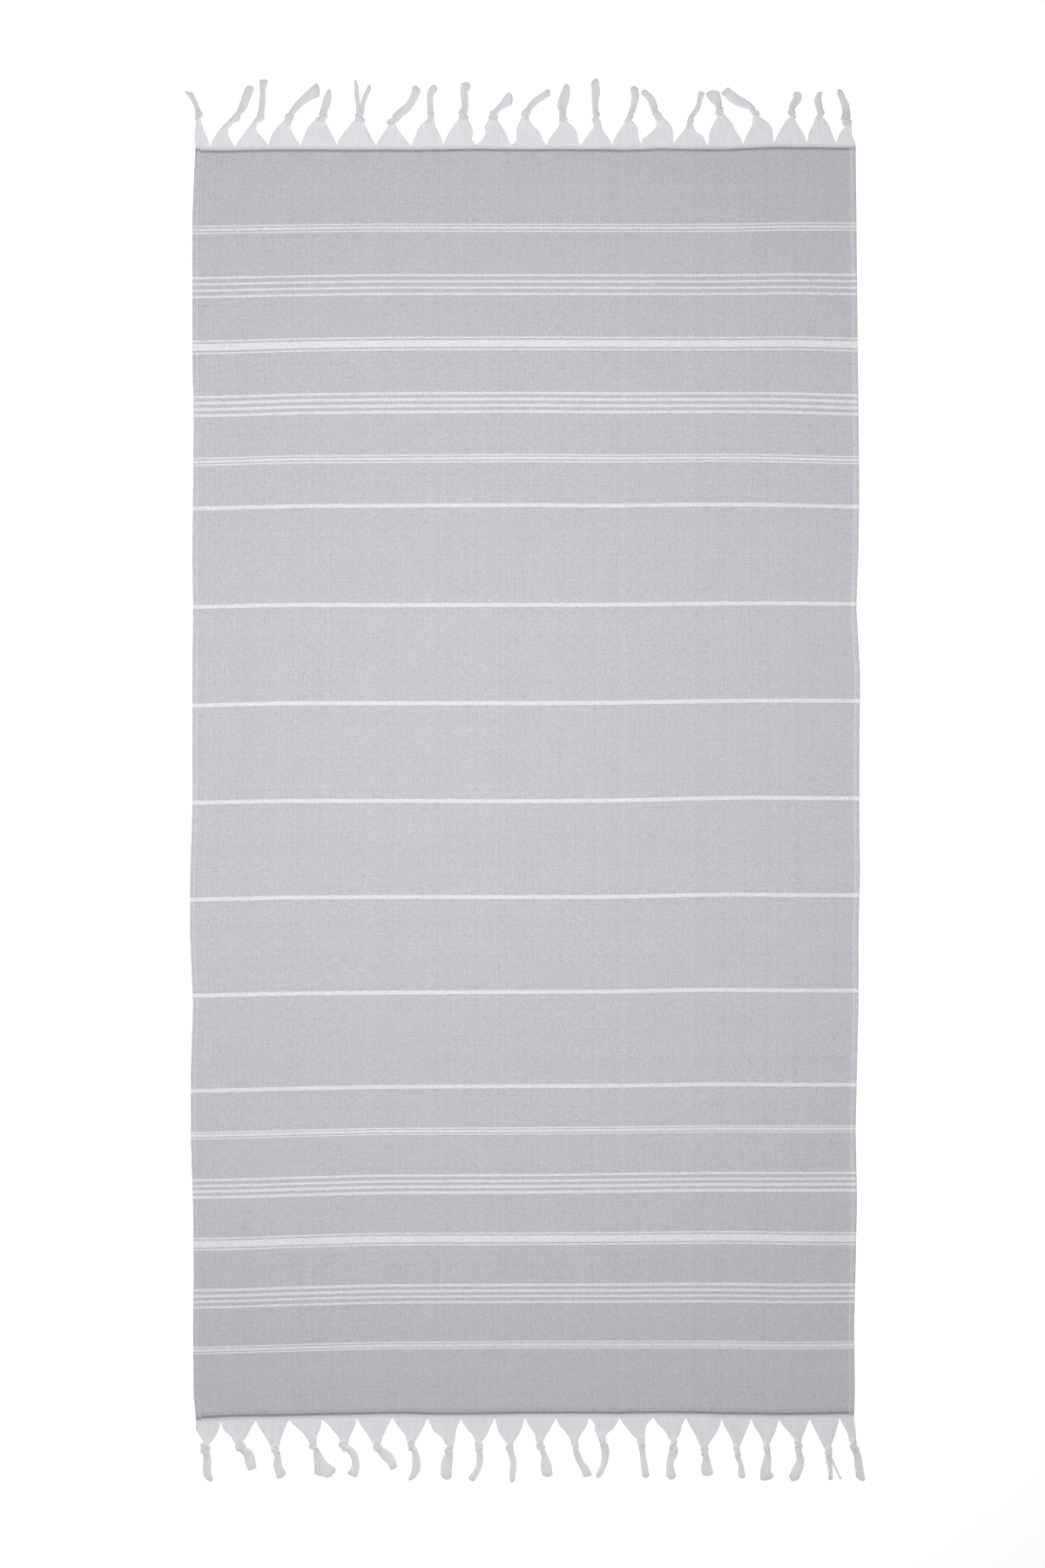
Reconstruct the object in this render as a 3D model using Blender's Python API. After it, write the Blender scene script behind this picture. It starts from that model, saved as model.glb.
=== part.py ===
"""A hammam towel laid out flat: a thin cotton cloth with a sewn hem down each long side, a dense weft
rib across each end, and a knotted fringe of its own warp at both ends.

The towel lies on its back face. X runs across the cloth, Y along it from the bottom end to the top
end, and Z up from the surface it lies on. Sizes and tables are in millimetres, and in the tables
`out` is measured away from the cloth, past the heading's mean outer edge.
"""
from collections import namedtuple

import bmesh
import bpy
import numpy
from mathutils import Vector

MM = 0.001
CLOSE = 0.05             # two heights or places this near each other are the same
FACING = 0.9             # a face whose normal has this much of a direction faces that way
TOP, BOTTOM = 0, 1       # the cloth's two ends

# The cloth
CLOTH_LENGTH = 1711.0
CLOTH_THICK = 1.2
HEM_WIDTH = 7.2          # a side hem, edge to the step down to the single cloth
HEM_THICK = 2.4          # the cloth is folded over there
HEM_STEP = 0.8           # width of the slope at each side of the hem
HEM_EDGE_THICK = 1.5     # the fold is round, so its rim is lower
RIB_WIDTH = 3.2          # dense weft picks across each end
RIB_THICK = 1.9
RIB_EDGE_THICK = 1.5
RIB_STEP = 0.6

# The heading: the picks outside the rib, which hold the fringe's roots
GAP = 0.3                # clear space between the cloth's end and the heading
HEADING_WIDTH = 4.0
HEADING_THICK = 1.2

# A tassel: a fan of warp, an overhand knot and a loose tail, all lying on the surface
FAN_STEPS = (0.2, 0.4, 0.6, 0.8, 1.0)
FAN_THICKENS = (0.0, 0.6, 1.0)   # shares of the fan at the heading's, the fan's and the neck's thickness
FAN_THICK = 1.7
NECK_WIDTH = 8.0
NECK_THICK = 4.0
KNOT_LENGTH = 12.0
KNOT_SECTIONS = (        # along the knot from its middle, width, thickness
    (-3.8, 10.5, 5.8),
    (-1.8, 11.3, 6.5),
    (0.2, 9.8, 5.6),
    (2.6, 11.5, 7.0),
    (4.6, 9.6, 5.4),
)
TAIL_STEPS = (0.13, 0.26, 0.4, 0.54, 0.68, 0.82, 0.94, 1.0)
TAIL_WIDENS = (0.0, 0.3, 0.65, 0.94, 1.0)    # shares of the tail at which its widths are stated
TAIL_THINS = (0.0, 0.3, 1.0)
TAIL_START_WIDTH = 7.5
TAIL_START_THICK = 4.2
TAIL_THICK = 3.2
TIP_THICK = 2.4
TIP_ROUNDING = 0.72      # the very end's share of the tip's width
EDGE_SLOPE = 0.8         # a lock's top edge lies inside its foot by this share of its thickness
CROWN = 0.66             # but a narrow lock's top keeps this share of its foot's width
FORK_START = 0.44        # where a forked tail parts, as a share of its length
FORK_STEPS = (0.35, 0.7, 1.0)

# The cloth's long sides: distance down from the top end, left edge, right edge
SIDES = (
    (0, -446, 447),
    (90, -450, 448),
    (270, -450, 450),
    (360, -448, 451),
    (450, -449, 452),
    (540, -450, 451),
    (620, -449, 448),
    (710, -450, 453),
    (890, -450, 452),
    (980, -453, 453),
    (1060, -453, 451),
    (1150, -449, 451),
    (1240, -452, 449),
    (1330, -452, 447),
    (1420, -449, 449),
    (1510, -448, 447),
    (1590, -449, 445),
    (1680, -448, 446),
    (1711, -445, 445),
)

# Warp lines from end to end: x at the top, how far the top end reaches out there, and the same at
# the bottom. Each line ends between two tassels.
WARP_LINES = (
    (-446, -1, -445, 5),
    (-348, 0, -364, 3),
    (-254, -1, -227, 1),
    (-110, 0, -132, 0),
    (-18, 1, 0, -1),
    (117, 0, 128, -1),
    (247, 1, 266, 1),
    (337, 2, 343, 2),
    (447, 1, 445, 0),
)

# The tassels from left to right. The root's two ends; how far the fan's sides swell past straight
# lines (less than 0: hollow); the knot's middle; x at one third and two thirds of the tail; its tip;
# the tail's width and the tip's.
Tassel = namedtuple("Tassel", "root_left root_right left_swell right_swell knot_x knot_out "
                              "third_x two_thirds_x tip_x tip_out tail_width tip_width")
TOP_TASSELS = [Tassel(*row) for row in (
    (-446, -427, 1, 0, -441, 42, -444, -450, -457, 77, 6, 7),
    (-426, -393, 8, -9, -392, 38, -380, -375, -372, 84, 13, 12),
    (-392, -349, 6, -9, -358, 39, -355, -354, -353, 91, 9, 12),
    (-347, -304, 8, -4, -318, 38, -307, -295, -280, 76, 12, 20),
    (-303, -255, 10, 3, -274, 38, -269, -267, -265, 79, 13, 6),
    (-253, -202, 7, 4, -223, 38, -223, -227, -229, 89, 13, 7),
    (-201, -154, 2, -1, -178, 35, -157, -149, -147, 84, 13, 13),
    (-153, -111, 6, 2, -127, 40, -129, -128, -121, 84, 10, 12),
    (-109, -66, 5, 5, -83, 42, -80, -82, -79, 88, 11, 13),
    (-65, -19, 2, 3, -41, 42, -33, -25, -20, 72, 11, 13),
    (-17, 29, 3, 6, 1, 44, 13, 24, 33, 79, 10, 11),
    (30, 75, -1, 7, 53, 40, 51, 55, 57, 85, 15, 9),
    (76, 116, -2, -1, 96, 40, 96, 96, 96, 92, 11, 10),
    (118, 158, 4, 5, 141, 38, 148, 150, 149, 83, 11, 10),
    (159, 201, -5, 10, 179, 43, 174, 168, 158, 77, 11, 8),
    (202, 246, 2, 0, 223, 32, 233, 238, 239, 77, 8, 9),
    (248, 294, 4, 6, 263, 48, 259, 256, 254, 76, 12, 18),
    (295, 336, -2, 11, 310, 47, 293, 280, 268, 78, 12, 12),
    (338, 380, 4, 4, 361, 45, 366, 370, 367, 76, 10, 10),
    (381, 421, 4, 4, 400, 45, 397, 398, 401, 75, 10, 5),
    (422, 447, -1, 3, 433, 35, 434, 429, 426, 78, 12, 9),
)]
BOTTOM_TASSELS = [Tassel(*row) for row in (
    (-445, -412, 5, 5, -432, 42, -429, -429, -427, 86, 12, 11),
    (-411, -365, 7, 4, -387, 38, -374, -371, -368, 72, 14, 14),
    (-363, -319, 2, 2, -338, 44, -335, -332, -328, 81, 12, 15),
    (-318, -275, 2, 2, -286, 37, -279, -275, -271, 79, 14, 28),
    (-274, -228, 1, 2, -244, 38, -230, -229, -236, 79, 13, 15),
    (-226, -180, 3, 2, -200, 38, -187, -181, -176, 70, 14, 13),
    (-179, -133, 2, 3, -152, 36, -147, -147, -155, 85, 12, 8),
    (-131, -87, 6, 0, -101, 42, -105, -106, -107, 83, 14, 17),
    (-86, -41, 1, 2, -62, 38, -60, -65, -74, 86, 10, 11),
    (-40, -1, 6, 4, -20, 38, -16, -15, -17, 87, 9, 6),
    (1, 42, 0, 3, 21, 37, 28, 29, 30, 80, 13, 15),
    (43, 86, -1, 2, 68, 42, 76, 82, 85, 81, 11, 13),
    (87, 127, 3, 3, 105, 30, 109, 105, 99, 81, 11, 9),
    (129, 173, 2, -5, 159, 31, 160, 162, 164, 80, 10, 11),
    (174, 217, 0, 2, 201, 36, 199, 196, 198, 82, 12, 15),
    (218, 265, 1, 5, 244, 44, 246, 246, 247, 79, 11, 18),
    (267, 305, 2, 2, 288, 44, 292, 294, 294, 81, 9, 12),
    (306, 342, 1, 5, 327, 38, 328, 326, 329, 83, 11, 20),
    (344, 384, 2, 2, 370, 37, 374, 368, 366, 85, 13, 13),
    (386, 425, 3, 2, 411, 45, 414, 413, 414, 86, 11, 7),
    (426, 445, 1, 1, 444, 34, 450, 452, 455, 85, 12, 9),
)]

# Second strands of the tassels whose tails part in two: the tassel's place in its row, which side
# the strand is on (-1 left, 1 right), its tip's x and out, and its width
TOP_FORKS = ((5, 1, -210, 83, 8),)
BOTTOM_FORKS = ((19, 1, 428, 82, 5),)


def material(name, colour, roughness):
    """A plain cotton finish."""
    finish = bpy.data.materials.new(name)
    finish.use_nodes = True
    shader = finish.node_tree.nodes["Principled BSDF"]
    shader.inputs["Base Color"].default_value = (*colour, 1.0)
    shader.inputs["Roughness"].default_value = roughness
    shader.inputs["Metallic"].default_value = 0.0
    return finish


def finished_object(name, bm, finish):
    """Turn a bmesh that is drawn in millimetres into a named object in metres."""
    bmesh.ops.scale(bm, vec=(MM, MM, MM), verts=bm.verts)
    bmesh.ops.recalc_face_normals(bm, faces=bm.faces)
    mesh = bpy.data.meshes.new(name)
    bm.to_mesh(mesh)
    bm.free()
    mesh.materials.append(finish)
    piece = bpy.data.objects.new(name, mesh)
    bpy.context.collection.objects.link(piece)
    return piece


def end_reach(end, x):
    """How far one end of the cloth reaches past its mean line at x."""
    lines = numpy.array(WARP_LINES, float)
    return float(numpy.interp(x, lines[:, 2 * end], lines[:, 2 * end + 1]))


# ---- cloth -------------------------------------------------------------------------------------

def cloth_rows():
    """Distances down the cloth at which it has a row of points, with the cloth's thickness there."""
    rib = ((0.0, RIB_EDGE_THICK), (RIB_STEP, RIB_THICK),
           (RIB_WIDTH - RIB_STEP, RIB_THICK), (RIB_WIDTH, CLOTH_THICK))
    top = list(rib)
    field = [(down, CLOTH_THICK) for down, _, _ in SIDES[1:-1]]
    bottom = [(CLOTH_LENGTH - down, thick) for down, thick in reversed(rib)]
    return top + field + bottom


def cloth_columns(down):
    """x of each column of points at a distance down the cloth, with the hem's thickness there."""
    sides = numpy.array(SIDES, float)
    left = numpy.interp(down, sides[:, 0], sides[:, 1])
    right = numpy.interp(down, sides[:, 0], sides[:, 2])
    share = down / CLOTH_LENGTH
    hem = ((0.0, HEM_EDGE_THICK), (HEM_STEP, HEM_THICK),
           (HEM_WIDTH - HEM_STEP, HEM_THICK), (HEM_WIDTH, CLOTH_THICK))
    columns = [(left + inset, thick) for inset, thick in hem]
    for top_x, _, bottom_x, _ in WARP_LINES[1:-1]:
        columns.append((top_x + (bottom_x - top_x) * share, CLOTH_THICK))
    columns += [(right - inset, thick) for inset, thick in reversed(hem)]
    return columns


def make_cloth(finish):
    """The cloth: a grid for its face, a flat copy for its back, and a rim that joins them."""
    rows = cloth_rows()
    columns = len(cloth_columns(0.0))
    bm = bmesh.new()
    bmesh.ops.create_grid(bm, x_segments=columns - 1, y_segments=len(rows) - 1, size=1.0)
    face_points = list(bm.verts)
    back_of = bmesh.ops.duplicate(bm, geom=bm.faces[:])["vert_map"]
    for index, point in enumerate(face_points):
        down, row_thick = rows[index // columns]
        x, column_thick = cloth_columns(down)[index % columns]
        share = down / CLOTH_LENGTH
        top_y = CLOTH_LENGTH / 2 + end_reach(TOP, x)
        bottom_y = -CLOTH_LENGTH / 2 - end_reach(BOTTOM, x)
        y = top_y + (bottom_y - top_y) * share
        back_of[point].co = (x, y, 0.0)
        point.co = (x, y, max(row_thick, column_thick))
    bmesh.ops.bridge_loops(bm, edges=[edge for edge in bm.edges if edge.is_boundary])
    return finished_object("towel_cloth", bm, finish)


# ---- fringe ------------------------------------------------------------------------------------

def corner_tags(face):
    """For each corner of an upright face: -1 for left or 1 for right, and 0 for foot or 1 for top."""
    middle = face.calc_center_median()
    return [(-1 if v.co.x < middle.x else 1, 0 if v.co.z < middle.z else 1) for v in face.verts]


def grow(bm, face, sections):
    """Draw a four-sided lock out of a face, through sections given as centre, across, width, height."""
    tags = corner_tags(face)
    for centre, across, width, thick in sections:
        face = bmesh.ops.extrude_discrete_faces(bm, faces=[face])["faces"][0]
        foot = width / 2
        crown = max(foot * CROWN, foot - EDGE_SLOPE * thick)
        for vert, (side, top) in zip(face.verts, tags):
            spot = centre + across * side * (crown if top else foot)
            vert.co = (spot.x, spot.y, thick if top else 0.0)
    return face


def across_of(direction):
    """The way across a lock that runs along a direction."""
    return Vector((direction.y, -direction.x)).normalized()


def tail_curve(start, tassel):
    """One cubic curve from the knot to the tip, by way of the tail's two stated points."""
    tip = Vector((tassel.tip_x, tassel.tip_out))
    reach = tip.y - start.y
    first = Vector((tassel.third_x, start.y + reach / 3))
    second = Vector((tassel.two_thirds_x, start.y + reach * 2 / 3))
    near = (start * -5 + first * 18 - second * 9 + tip * 2) / 6
    far = (start * 2 - first * 9 + second * 18 - tip * 5) / 6

    def at(share):
        rest = 1 - share
        inner = near * rest + far * share
        return start * rest ** 3 + inner * 3 * share * rest + tip * share ** 3

    def along(share):
        rest = 1 - share
        inner = (far - near) * 2 * share * rest
        return ((near - start) * rest ** 2 + inner + (tip - far) * share ** 2).normalized()

    return at, along


def fan_sections(tassel, root_out, neck, aim):
    """The fan of warp, from its root on the heading to the neck under the knot."""
    across = across_of(aim)
    sections = []
    for share in FAN_STEPS:
        swell = 4 * share * (1 - share)
        half_neck = across * NECK_WIDTH / 2
        neck_left, neck_right = neck - half_neck, neck + half_neck
        left = Vector((tassel.root_left, root_out)).lerp(neck_left, share)
        right = Vector((tassel.root_right, root_out)).lerp(neck_right, share)
        left.x -= tassel.left_swell * swell
        right.x += tassel.right_swell * swell
        span = right - left
        thick = numpy.interp(share, FAN_THICKENS, (HEADING_THICK, FAN_THICK, NECK_THICK))
        sections.append(((left + right) / 2, span.normalized(), span.length, float(thick)))
    return sections


def knot_sections(knot, aim):
    """The knot: two swells with a waist between them."""
    return [(knot + aim * along, across_of(aim), width, thick) for along, width, thick in KNOT_SECTIONS]


def tail_sections(curve, steps, widths):
    """The loose tail: widths are those at the knot, along the tail and at the tip."""
    at, along = curve
    start_width, tail_width, tip_width = widths
    sections = []
    stated = (start_width, tail_width, tail_width, tip_width, tip_width * TIP_ROUNDING)
    for share in steps:
        width = numpy.interp(share, TAIL_WIDENS, stated)
        thick = numpy.interp(share, TAIL_THINS, (TAIL_START_THICK, TAIL_THICK, TIP_THICK))
        sections.append((at(share), across_of(along(share)), float(width), float(thick)))
    return sections


def grow_fork(bm, face, curve, widths, fork):
    """Part the tail into its own strand and a second one beside it."""
    side, fork_x, fork_out, fork_width = fork
    at, along = curve
    start, forward = at(FORK_START), along(FORK_START)
    level_edges = [e for e in face.edges if abs(e.verts[0].co.z - e.verts[1].co.z) < CLOSE]
    bmesh.ops.subdivide_edges(bm, edges=level_edges, cuts=2, use_grid_fill=True)
    bm.normal_update()
    thirds = []
    for part in bm.faces:
        offset = part.calc_center_median().xy - start
        faces_out = part.normal.xy.dot(forward) > FACING
        if faces_out and abs(offset.dot(forward)) < CLOSE and offset.length < widths[1]:
            thirds.append(part)
    thirds.sort(key=lambda part: part.calc_center_median().x * side)
    own, second = thirds[0], thirds[-1]
    own_steps = [share for share in TAIL_STEPS if share > FORK_START]
    own_widths = (widths[2], widths[2], widths[2])
    grow(bm, own, tail_sections(curve, own_steps, own_widths))
    root = second.calc_center_median().xy
    reach = Vector((fork_x, fork_out)) - root
    grow(bm, second, [(root + reach * share, across_of(reach), fork_width, TIP_THICK)
                      for share in FORK_STEPS])


def grow_tassel(bm, root, tassel, root_out, fork):
    """One tassel on its root face: fan, knot and tail."""
    knot = Vector((tassel.knot_x, tassel.knot_out))
    root_middle = Vector(((tassel.root_left + tassel.root_right) / 2, root_out))
    tail_middle = Vector((tassel.third_x, (tassel.knot_out + tassel.tip_out) / 2))
    aim = ((knot - root_middle).normalized() + (tail_middle - knot).normalized()).normalized()
    neck = knot - aim * KNOT_LENGTH / 2
    curve = tail_curve(knot + aim * KNOT_LENGTH / 2, tassel)
    widths = (TAIL_START_WIDTH, tassel.tail_width, tassel.tip_width)
    sections = fan_sections(tassel, root_out, neck, aim) + knot_sections(knot, aim)
    if fork is None:
        grow(bm, root, sections + tail_sections(curve, TAIL_STEPS, widths))
    else:
        steps = [share for share in TAIL_STEPS if share < FORK_START] + [FORK_START]
        stem = grow(bm, root, sections + tail_sections(curve, steps, widths))
        grow_fork(bm, stem, curve, widths, fork)


def make_heading(bm, end, tassels):
    """The strip that holds the roots, drawn from left to right; gives each tassel's root face."""
    stations = [x for tassel in tassels for x in (tassel.root_left, tassel.root_right)]
    bmesh.ops.create_cube(bm, size=1.0)
    bmesh.ops.scale(bm, vec=(1.0, HEADING_WIDTH, HEADING_THICK), verts=bm.verts)
    bmesh.ops.translate(bm, vec=(0.0, -HEADING_WIDTH / 2, HEADING_THICK / 2), verts=bm.verts)
    front = next(face for face in bm.faces if face.normal.x > FACING)
    for vert in bm.verts:
        x = stations[1] if vert in front.verts else stations[0]
        vert.co = (x, vert.co.y + end_reach(end, x), vert.co.z)
    for previous, x in zip(stations[1:], stations[2:]):
        front = bmesh.ops.extrude_discrete_faces(bm, faces=[front])["faces"][0]
        rise = end_reach(end, x) - end_reach(end, previous)
        bmesh.ops.translate(bm, vec=(x - previous, rise, 0.0), verts=front.verts)
    bm.normal_update()
    outer_faces = [face for face in bm.faces if face.normal.y > FACING]
    outer_faces.sort(key=lambda face: face.calc_center_median().x)
    return outer_faces[::2]


def make_fringe(name, end, tassels, forks, finish):
    """A heading with its tassels, drawn at the top end and turned over for the bottom one."""
    bm = bmesh.new()
    forked = {place: fork for place, *fork in forks}
    for place, root in enumerate(make_heading(bm, end, tassels)):
        tassel = tassels[place]
        root_out = end_reach(end, (tassel.root_left + tassel.root_right) / 2)
        grow_tassel(bm, root, tassel, root_out, forked.get(place))
    start = CLOTH_LENGTH / 2 + GAP + HEADING_WIDTH
    bmesh.ops.translate(bm, vec=(0.0, start, 0.0), verts=bm.verts)
    if end == BOTTOM:
        bmesh.ops.scale(bm, vec=(1.0, -1.0, 1.0), verts=bm.verts)
    return finished_object(name, bm, finish)


# ---- towel -------------------------------------------------------------------------------------

def centre_on_origin(pieces):
    """Move the meshes together until the towel's box is central over the origin."""
    corners = [v.co for piece in pieces for v in piece.data.vertices]
    middle_x = (min(c.x for c in corners) + max(c.x for c in corners)) / 2
    middle_y = (min(c.y for c in corners) + max(c.y for c in corners)) / 2
    for piece in pieces:
        for vert in piece.data.vertices:
            vert.co.x -= middle_x
            vert.co.y -= middle_y


def main():
    for old in list(bpy.data.objects):
        bpy.data.objects.remove(old)
    chambray = material("grey_chambray_cotton", (0.52, 0.52, 0.56), 0.9)
    warp = material("white_warp_cotton", (0.80, 0.80, 0.82), 0.85)
    pieces = [
        make_cloth(chambray),
        make_fringe("fringe_top", TOP, TOP_TASSELS, TOP_FORKS, warp),
        make_fringe("fringe_bottom", BOTTOM, BOTTOM_TASSELS, BOTTOM_FORKS, warp),
    ]
    centre_on_origin(pieces)


main()
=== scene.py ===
"""The looks of a hammam towel laid out flat and seen from straight above: a light grey chambray cloth
with woven white stripes and a stitched hem down each side, and at each end a white heading whose
warp is gathered into fans, tied in overhand knots and left as loose tails.

Tables and shapes are in millimetres, x across the towel, and a mesh is turned into metres when it is
made. `out` is measured away from the cloth, past the heading's mean outer edge, and `down` along the
cloth from its top end.
"""
import math
from collections import namedtuple

import bmesh
import bpy
import numpy
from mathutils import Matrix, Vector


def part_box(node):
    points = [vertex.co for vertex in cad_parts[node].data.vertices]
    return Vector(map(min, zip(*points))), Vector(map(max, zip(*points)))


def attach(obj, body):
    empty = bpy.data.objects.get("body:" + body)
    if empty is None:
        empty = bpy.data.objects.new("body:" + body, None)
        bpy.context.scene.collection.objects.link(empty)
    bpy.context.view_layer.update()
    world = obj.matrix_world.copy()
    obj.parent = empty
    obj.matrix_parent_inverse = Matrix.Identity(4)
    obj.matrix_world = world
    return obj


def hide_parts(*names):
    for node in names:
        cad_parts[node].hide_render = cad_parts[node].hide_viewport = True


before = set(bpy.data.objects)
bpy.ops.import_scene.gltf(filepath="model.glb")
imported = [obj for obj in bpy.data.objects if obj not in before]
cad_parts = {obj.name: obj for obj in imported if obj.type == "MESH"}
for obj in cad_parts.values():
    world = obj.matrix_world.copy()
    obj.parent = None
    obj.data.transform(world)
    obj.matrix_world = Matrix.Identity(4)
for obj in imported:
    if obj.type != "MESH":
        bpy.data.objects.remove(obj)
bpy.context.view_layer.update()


MM = 0.001
TOP, BOTTOM = 0, 1
GOLDEN = 0.618034        # steps of this share spread evenly over any count of yarns
SEED = 11                # of the chances by which one tassel differs from the next

# The cloth
CLOTH_LENGTH = 1711.0
CLOTH_WIDTH = 898.0      # mean, edge to edge
CLOTH_THICK = 1.1
HEM_WIDTH = 7.2
RIB_WIDTH = 3.6          # the dense grey picks across each end
WARP_PITCH = 0.62
WEFT_PITCH = 0.65
HEADING_WIDTH = 4.3      # it closes the gap to the cloth
ROOT_LINE = CLOTH_LENGTH / 2 + HEADING_WIDTH

# The cloth's long sides: distance down from the top end, left edge, right edge
SIDES = (
    (0, -446, 447), (90, -450, 448), (270, -450, 450), (360, -448, 451), (450, -449, 452),
    (540, -450, 451), (620, -449, 448), (710, -450, 453), (890, -450, 452), (980, -453, 453),
    (1060, -453, 451), (1150, -449, 451), (1240, -452, 449), (1330, -452, 447), (1420, -449, 449),
    (1510, -448, 447), (1590, -449, 445), (1680, -448, 446), (1711, -445, 445),
)

# How far each end of the cloth reaches past its mean line: x, reach
TOP_REACH = (
    (-446, -0.5), (-405, -1), (-350, 0.5), (-280, 0.5), (-235, 0), (-195, 0.5), (-153, 0), (-96, 1),
    (-61, 1.5), (-40, 1), (9, 0.5), (30, 1), (58, 1), (87, 0.5), (108, 1), (129, 0), (157, 0.5),
    (183, 2), (221, 1), (270, 1), (313, 3), (338, 4), (369, 3.5), (391, 3.5), (447, 2.5),
)
BOTTOM_REACH = (
    (-445, 4), (-421, 3.5), (-400, 2), (-365, 1.5), (-325, 1), (-287, 0), (-230, -1), (-185, -2),
    (-160, -2), (-131, -1), (-68, -1), (-40, -1.5), (2, -2.5), (94, -2.5), (125, -2), (143, -2.5),
    (190, -3), (242, -2.5), (263, -1.5), (320, -1), (340, -0.5), (384, -1), (412, -1.5), (445, -2.5),
)
END_REACHES = (TOP_REACH, BOTTOM_REACH)
PACKED_REACH = 2.0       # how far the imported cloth's top end reaches past its mean line
END_WAVES = 24.0         # the ends' small waves die out this far into the cloth

# How far a weft line sags below its level, by its distance down, at each x of SAG_PLACES
SAG_PLACES = (-445, -380, -320, -200, 0, 120, 240, 300, 360, 445)
SAGS = (
    (105, (3.5, 2.5, 1.5, 0, 0.5, 0.5, 0.5, 0, -1.5, -1)),
    (262, (5.5, 4, 2, 0, -0.5, 0, 0, 0, -1, 1.5)),
    (341, (6, 5, 2.5, 1, 0, 1, 0.5, 0.5, 1, 4)),
    (416, (6, 4, 2, 1.5, 0, 1, 0, 0, 1, 3.5)),
    (481, (4, 2.5, 0.5, 0, -1, 0, -1.5, -1.5, -0.5, 1.5)),
    (616, (2.5, 1, -0.5, 0, -0.5, -0.5, -2, -2.5, -2.5, -1.5)),
    (747, (4, 2, 0.5, 0.5, 0.5, 0, -2, -3, -3, -2.5)),
    (880, (2.5, 1, 0, 0, 0.5, -0.5, -3.5, -4.5, -4, -3.5)),
    (1010, (3.5, 2, 0.5, 0, 0, 0, -3, -3.5, -2.5, -2.5)),
    (1139, (4, 2.5, 1, 0, -1, -1.5, -4, -3.5, -3, -3)),
    (1266, (5.5, 4, 2.5, 0, -1, -1.5, -3.5, -3.5, -3, -3)),
    (1398, (6.5, 5.5, 3.5, 0, -0.5, -2, -3.5, -3.5, -3.5, -4)),
    (1472, (7.5, 6.5, 4, 0.5, 0, -0.5, -2, -2, -0.5, -0.5)),
    (1616, (7.5, 6, 4, 1, -0.5, -0.5, -0.5, 0, 1, -0.5)),
)
SAG_EASE = 22.0          # a line's bends are rounded over this far each side

# The white weft stripes: distance down to each one's middle, and its kind
STRIPES = (
    (104.8, "three"), (182.0, "four"), (262.1, "broad"), (341.0, "four"), (416.2, "three"),
    (481.2, "single"), (615.8, "single"), (747.7, "single"), (880.3, "single"), (1009.9, "single"),
    (1139.5, "single"), (1266.9, "single"), (1327.0, "three"), (1398.3, "four"), (1472.2, "broad"),
    (1546.2, "four"), (1616.0, "three"),
)
# A kind's white lines: each one's middle from the stripe's middle, and its width. Towards the bottom
# the picks are beaten closer together, so a stripe's lines are nearer each other there.
STRIPE_LINES = {
    "single": ((0.0, 5.2),),
    "three": ((-4.4, 1.8), (0.0, 3.5), (4.4, 1.8)),
    "four": ((-12.3, 3.6), (-4.1, 3.6), (4.1, 3.6), (12.3, 3.6)),
    "broad": ((-8.0, 1.9), (0.0, 8.8), (8.0, 1.9)),
}
TOP_SPREAD = 1.04
BOTTOM_SPREAD = 0.92

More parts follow.
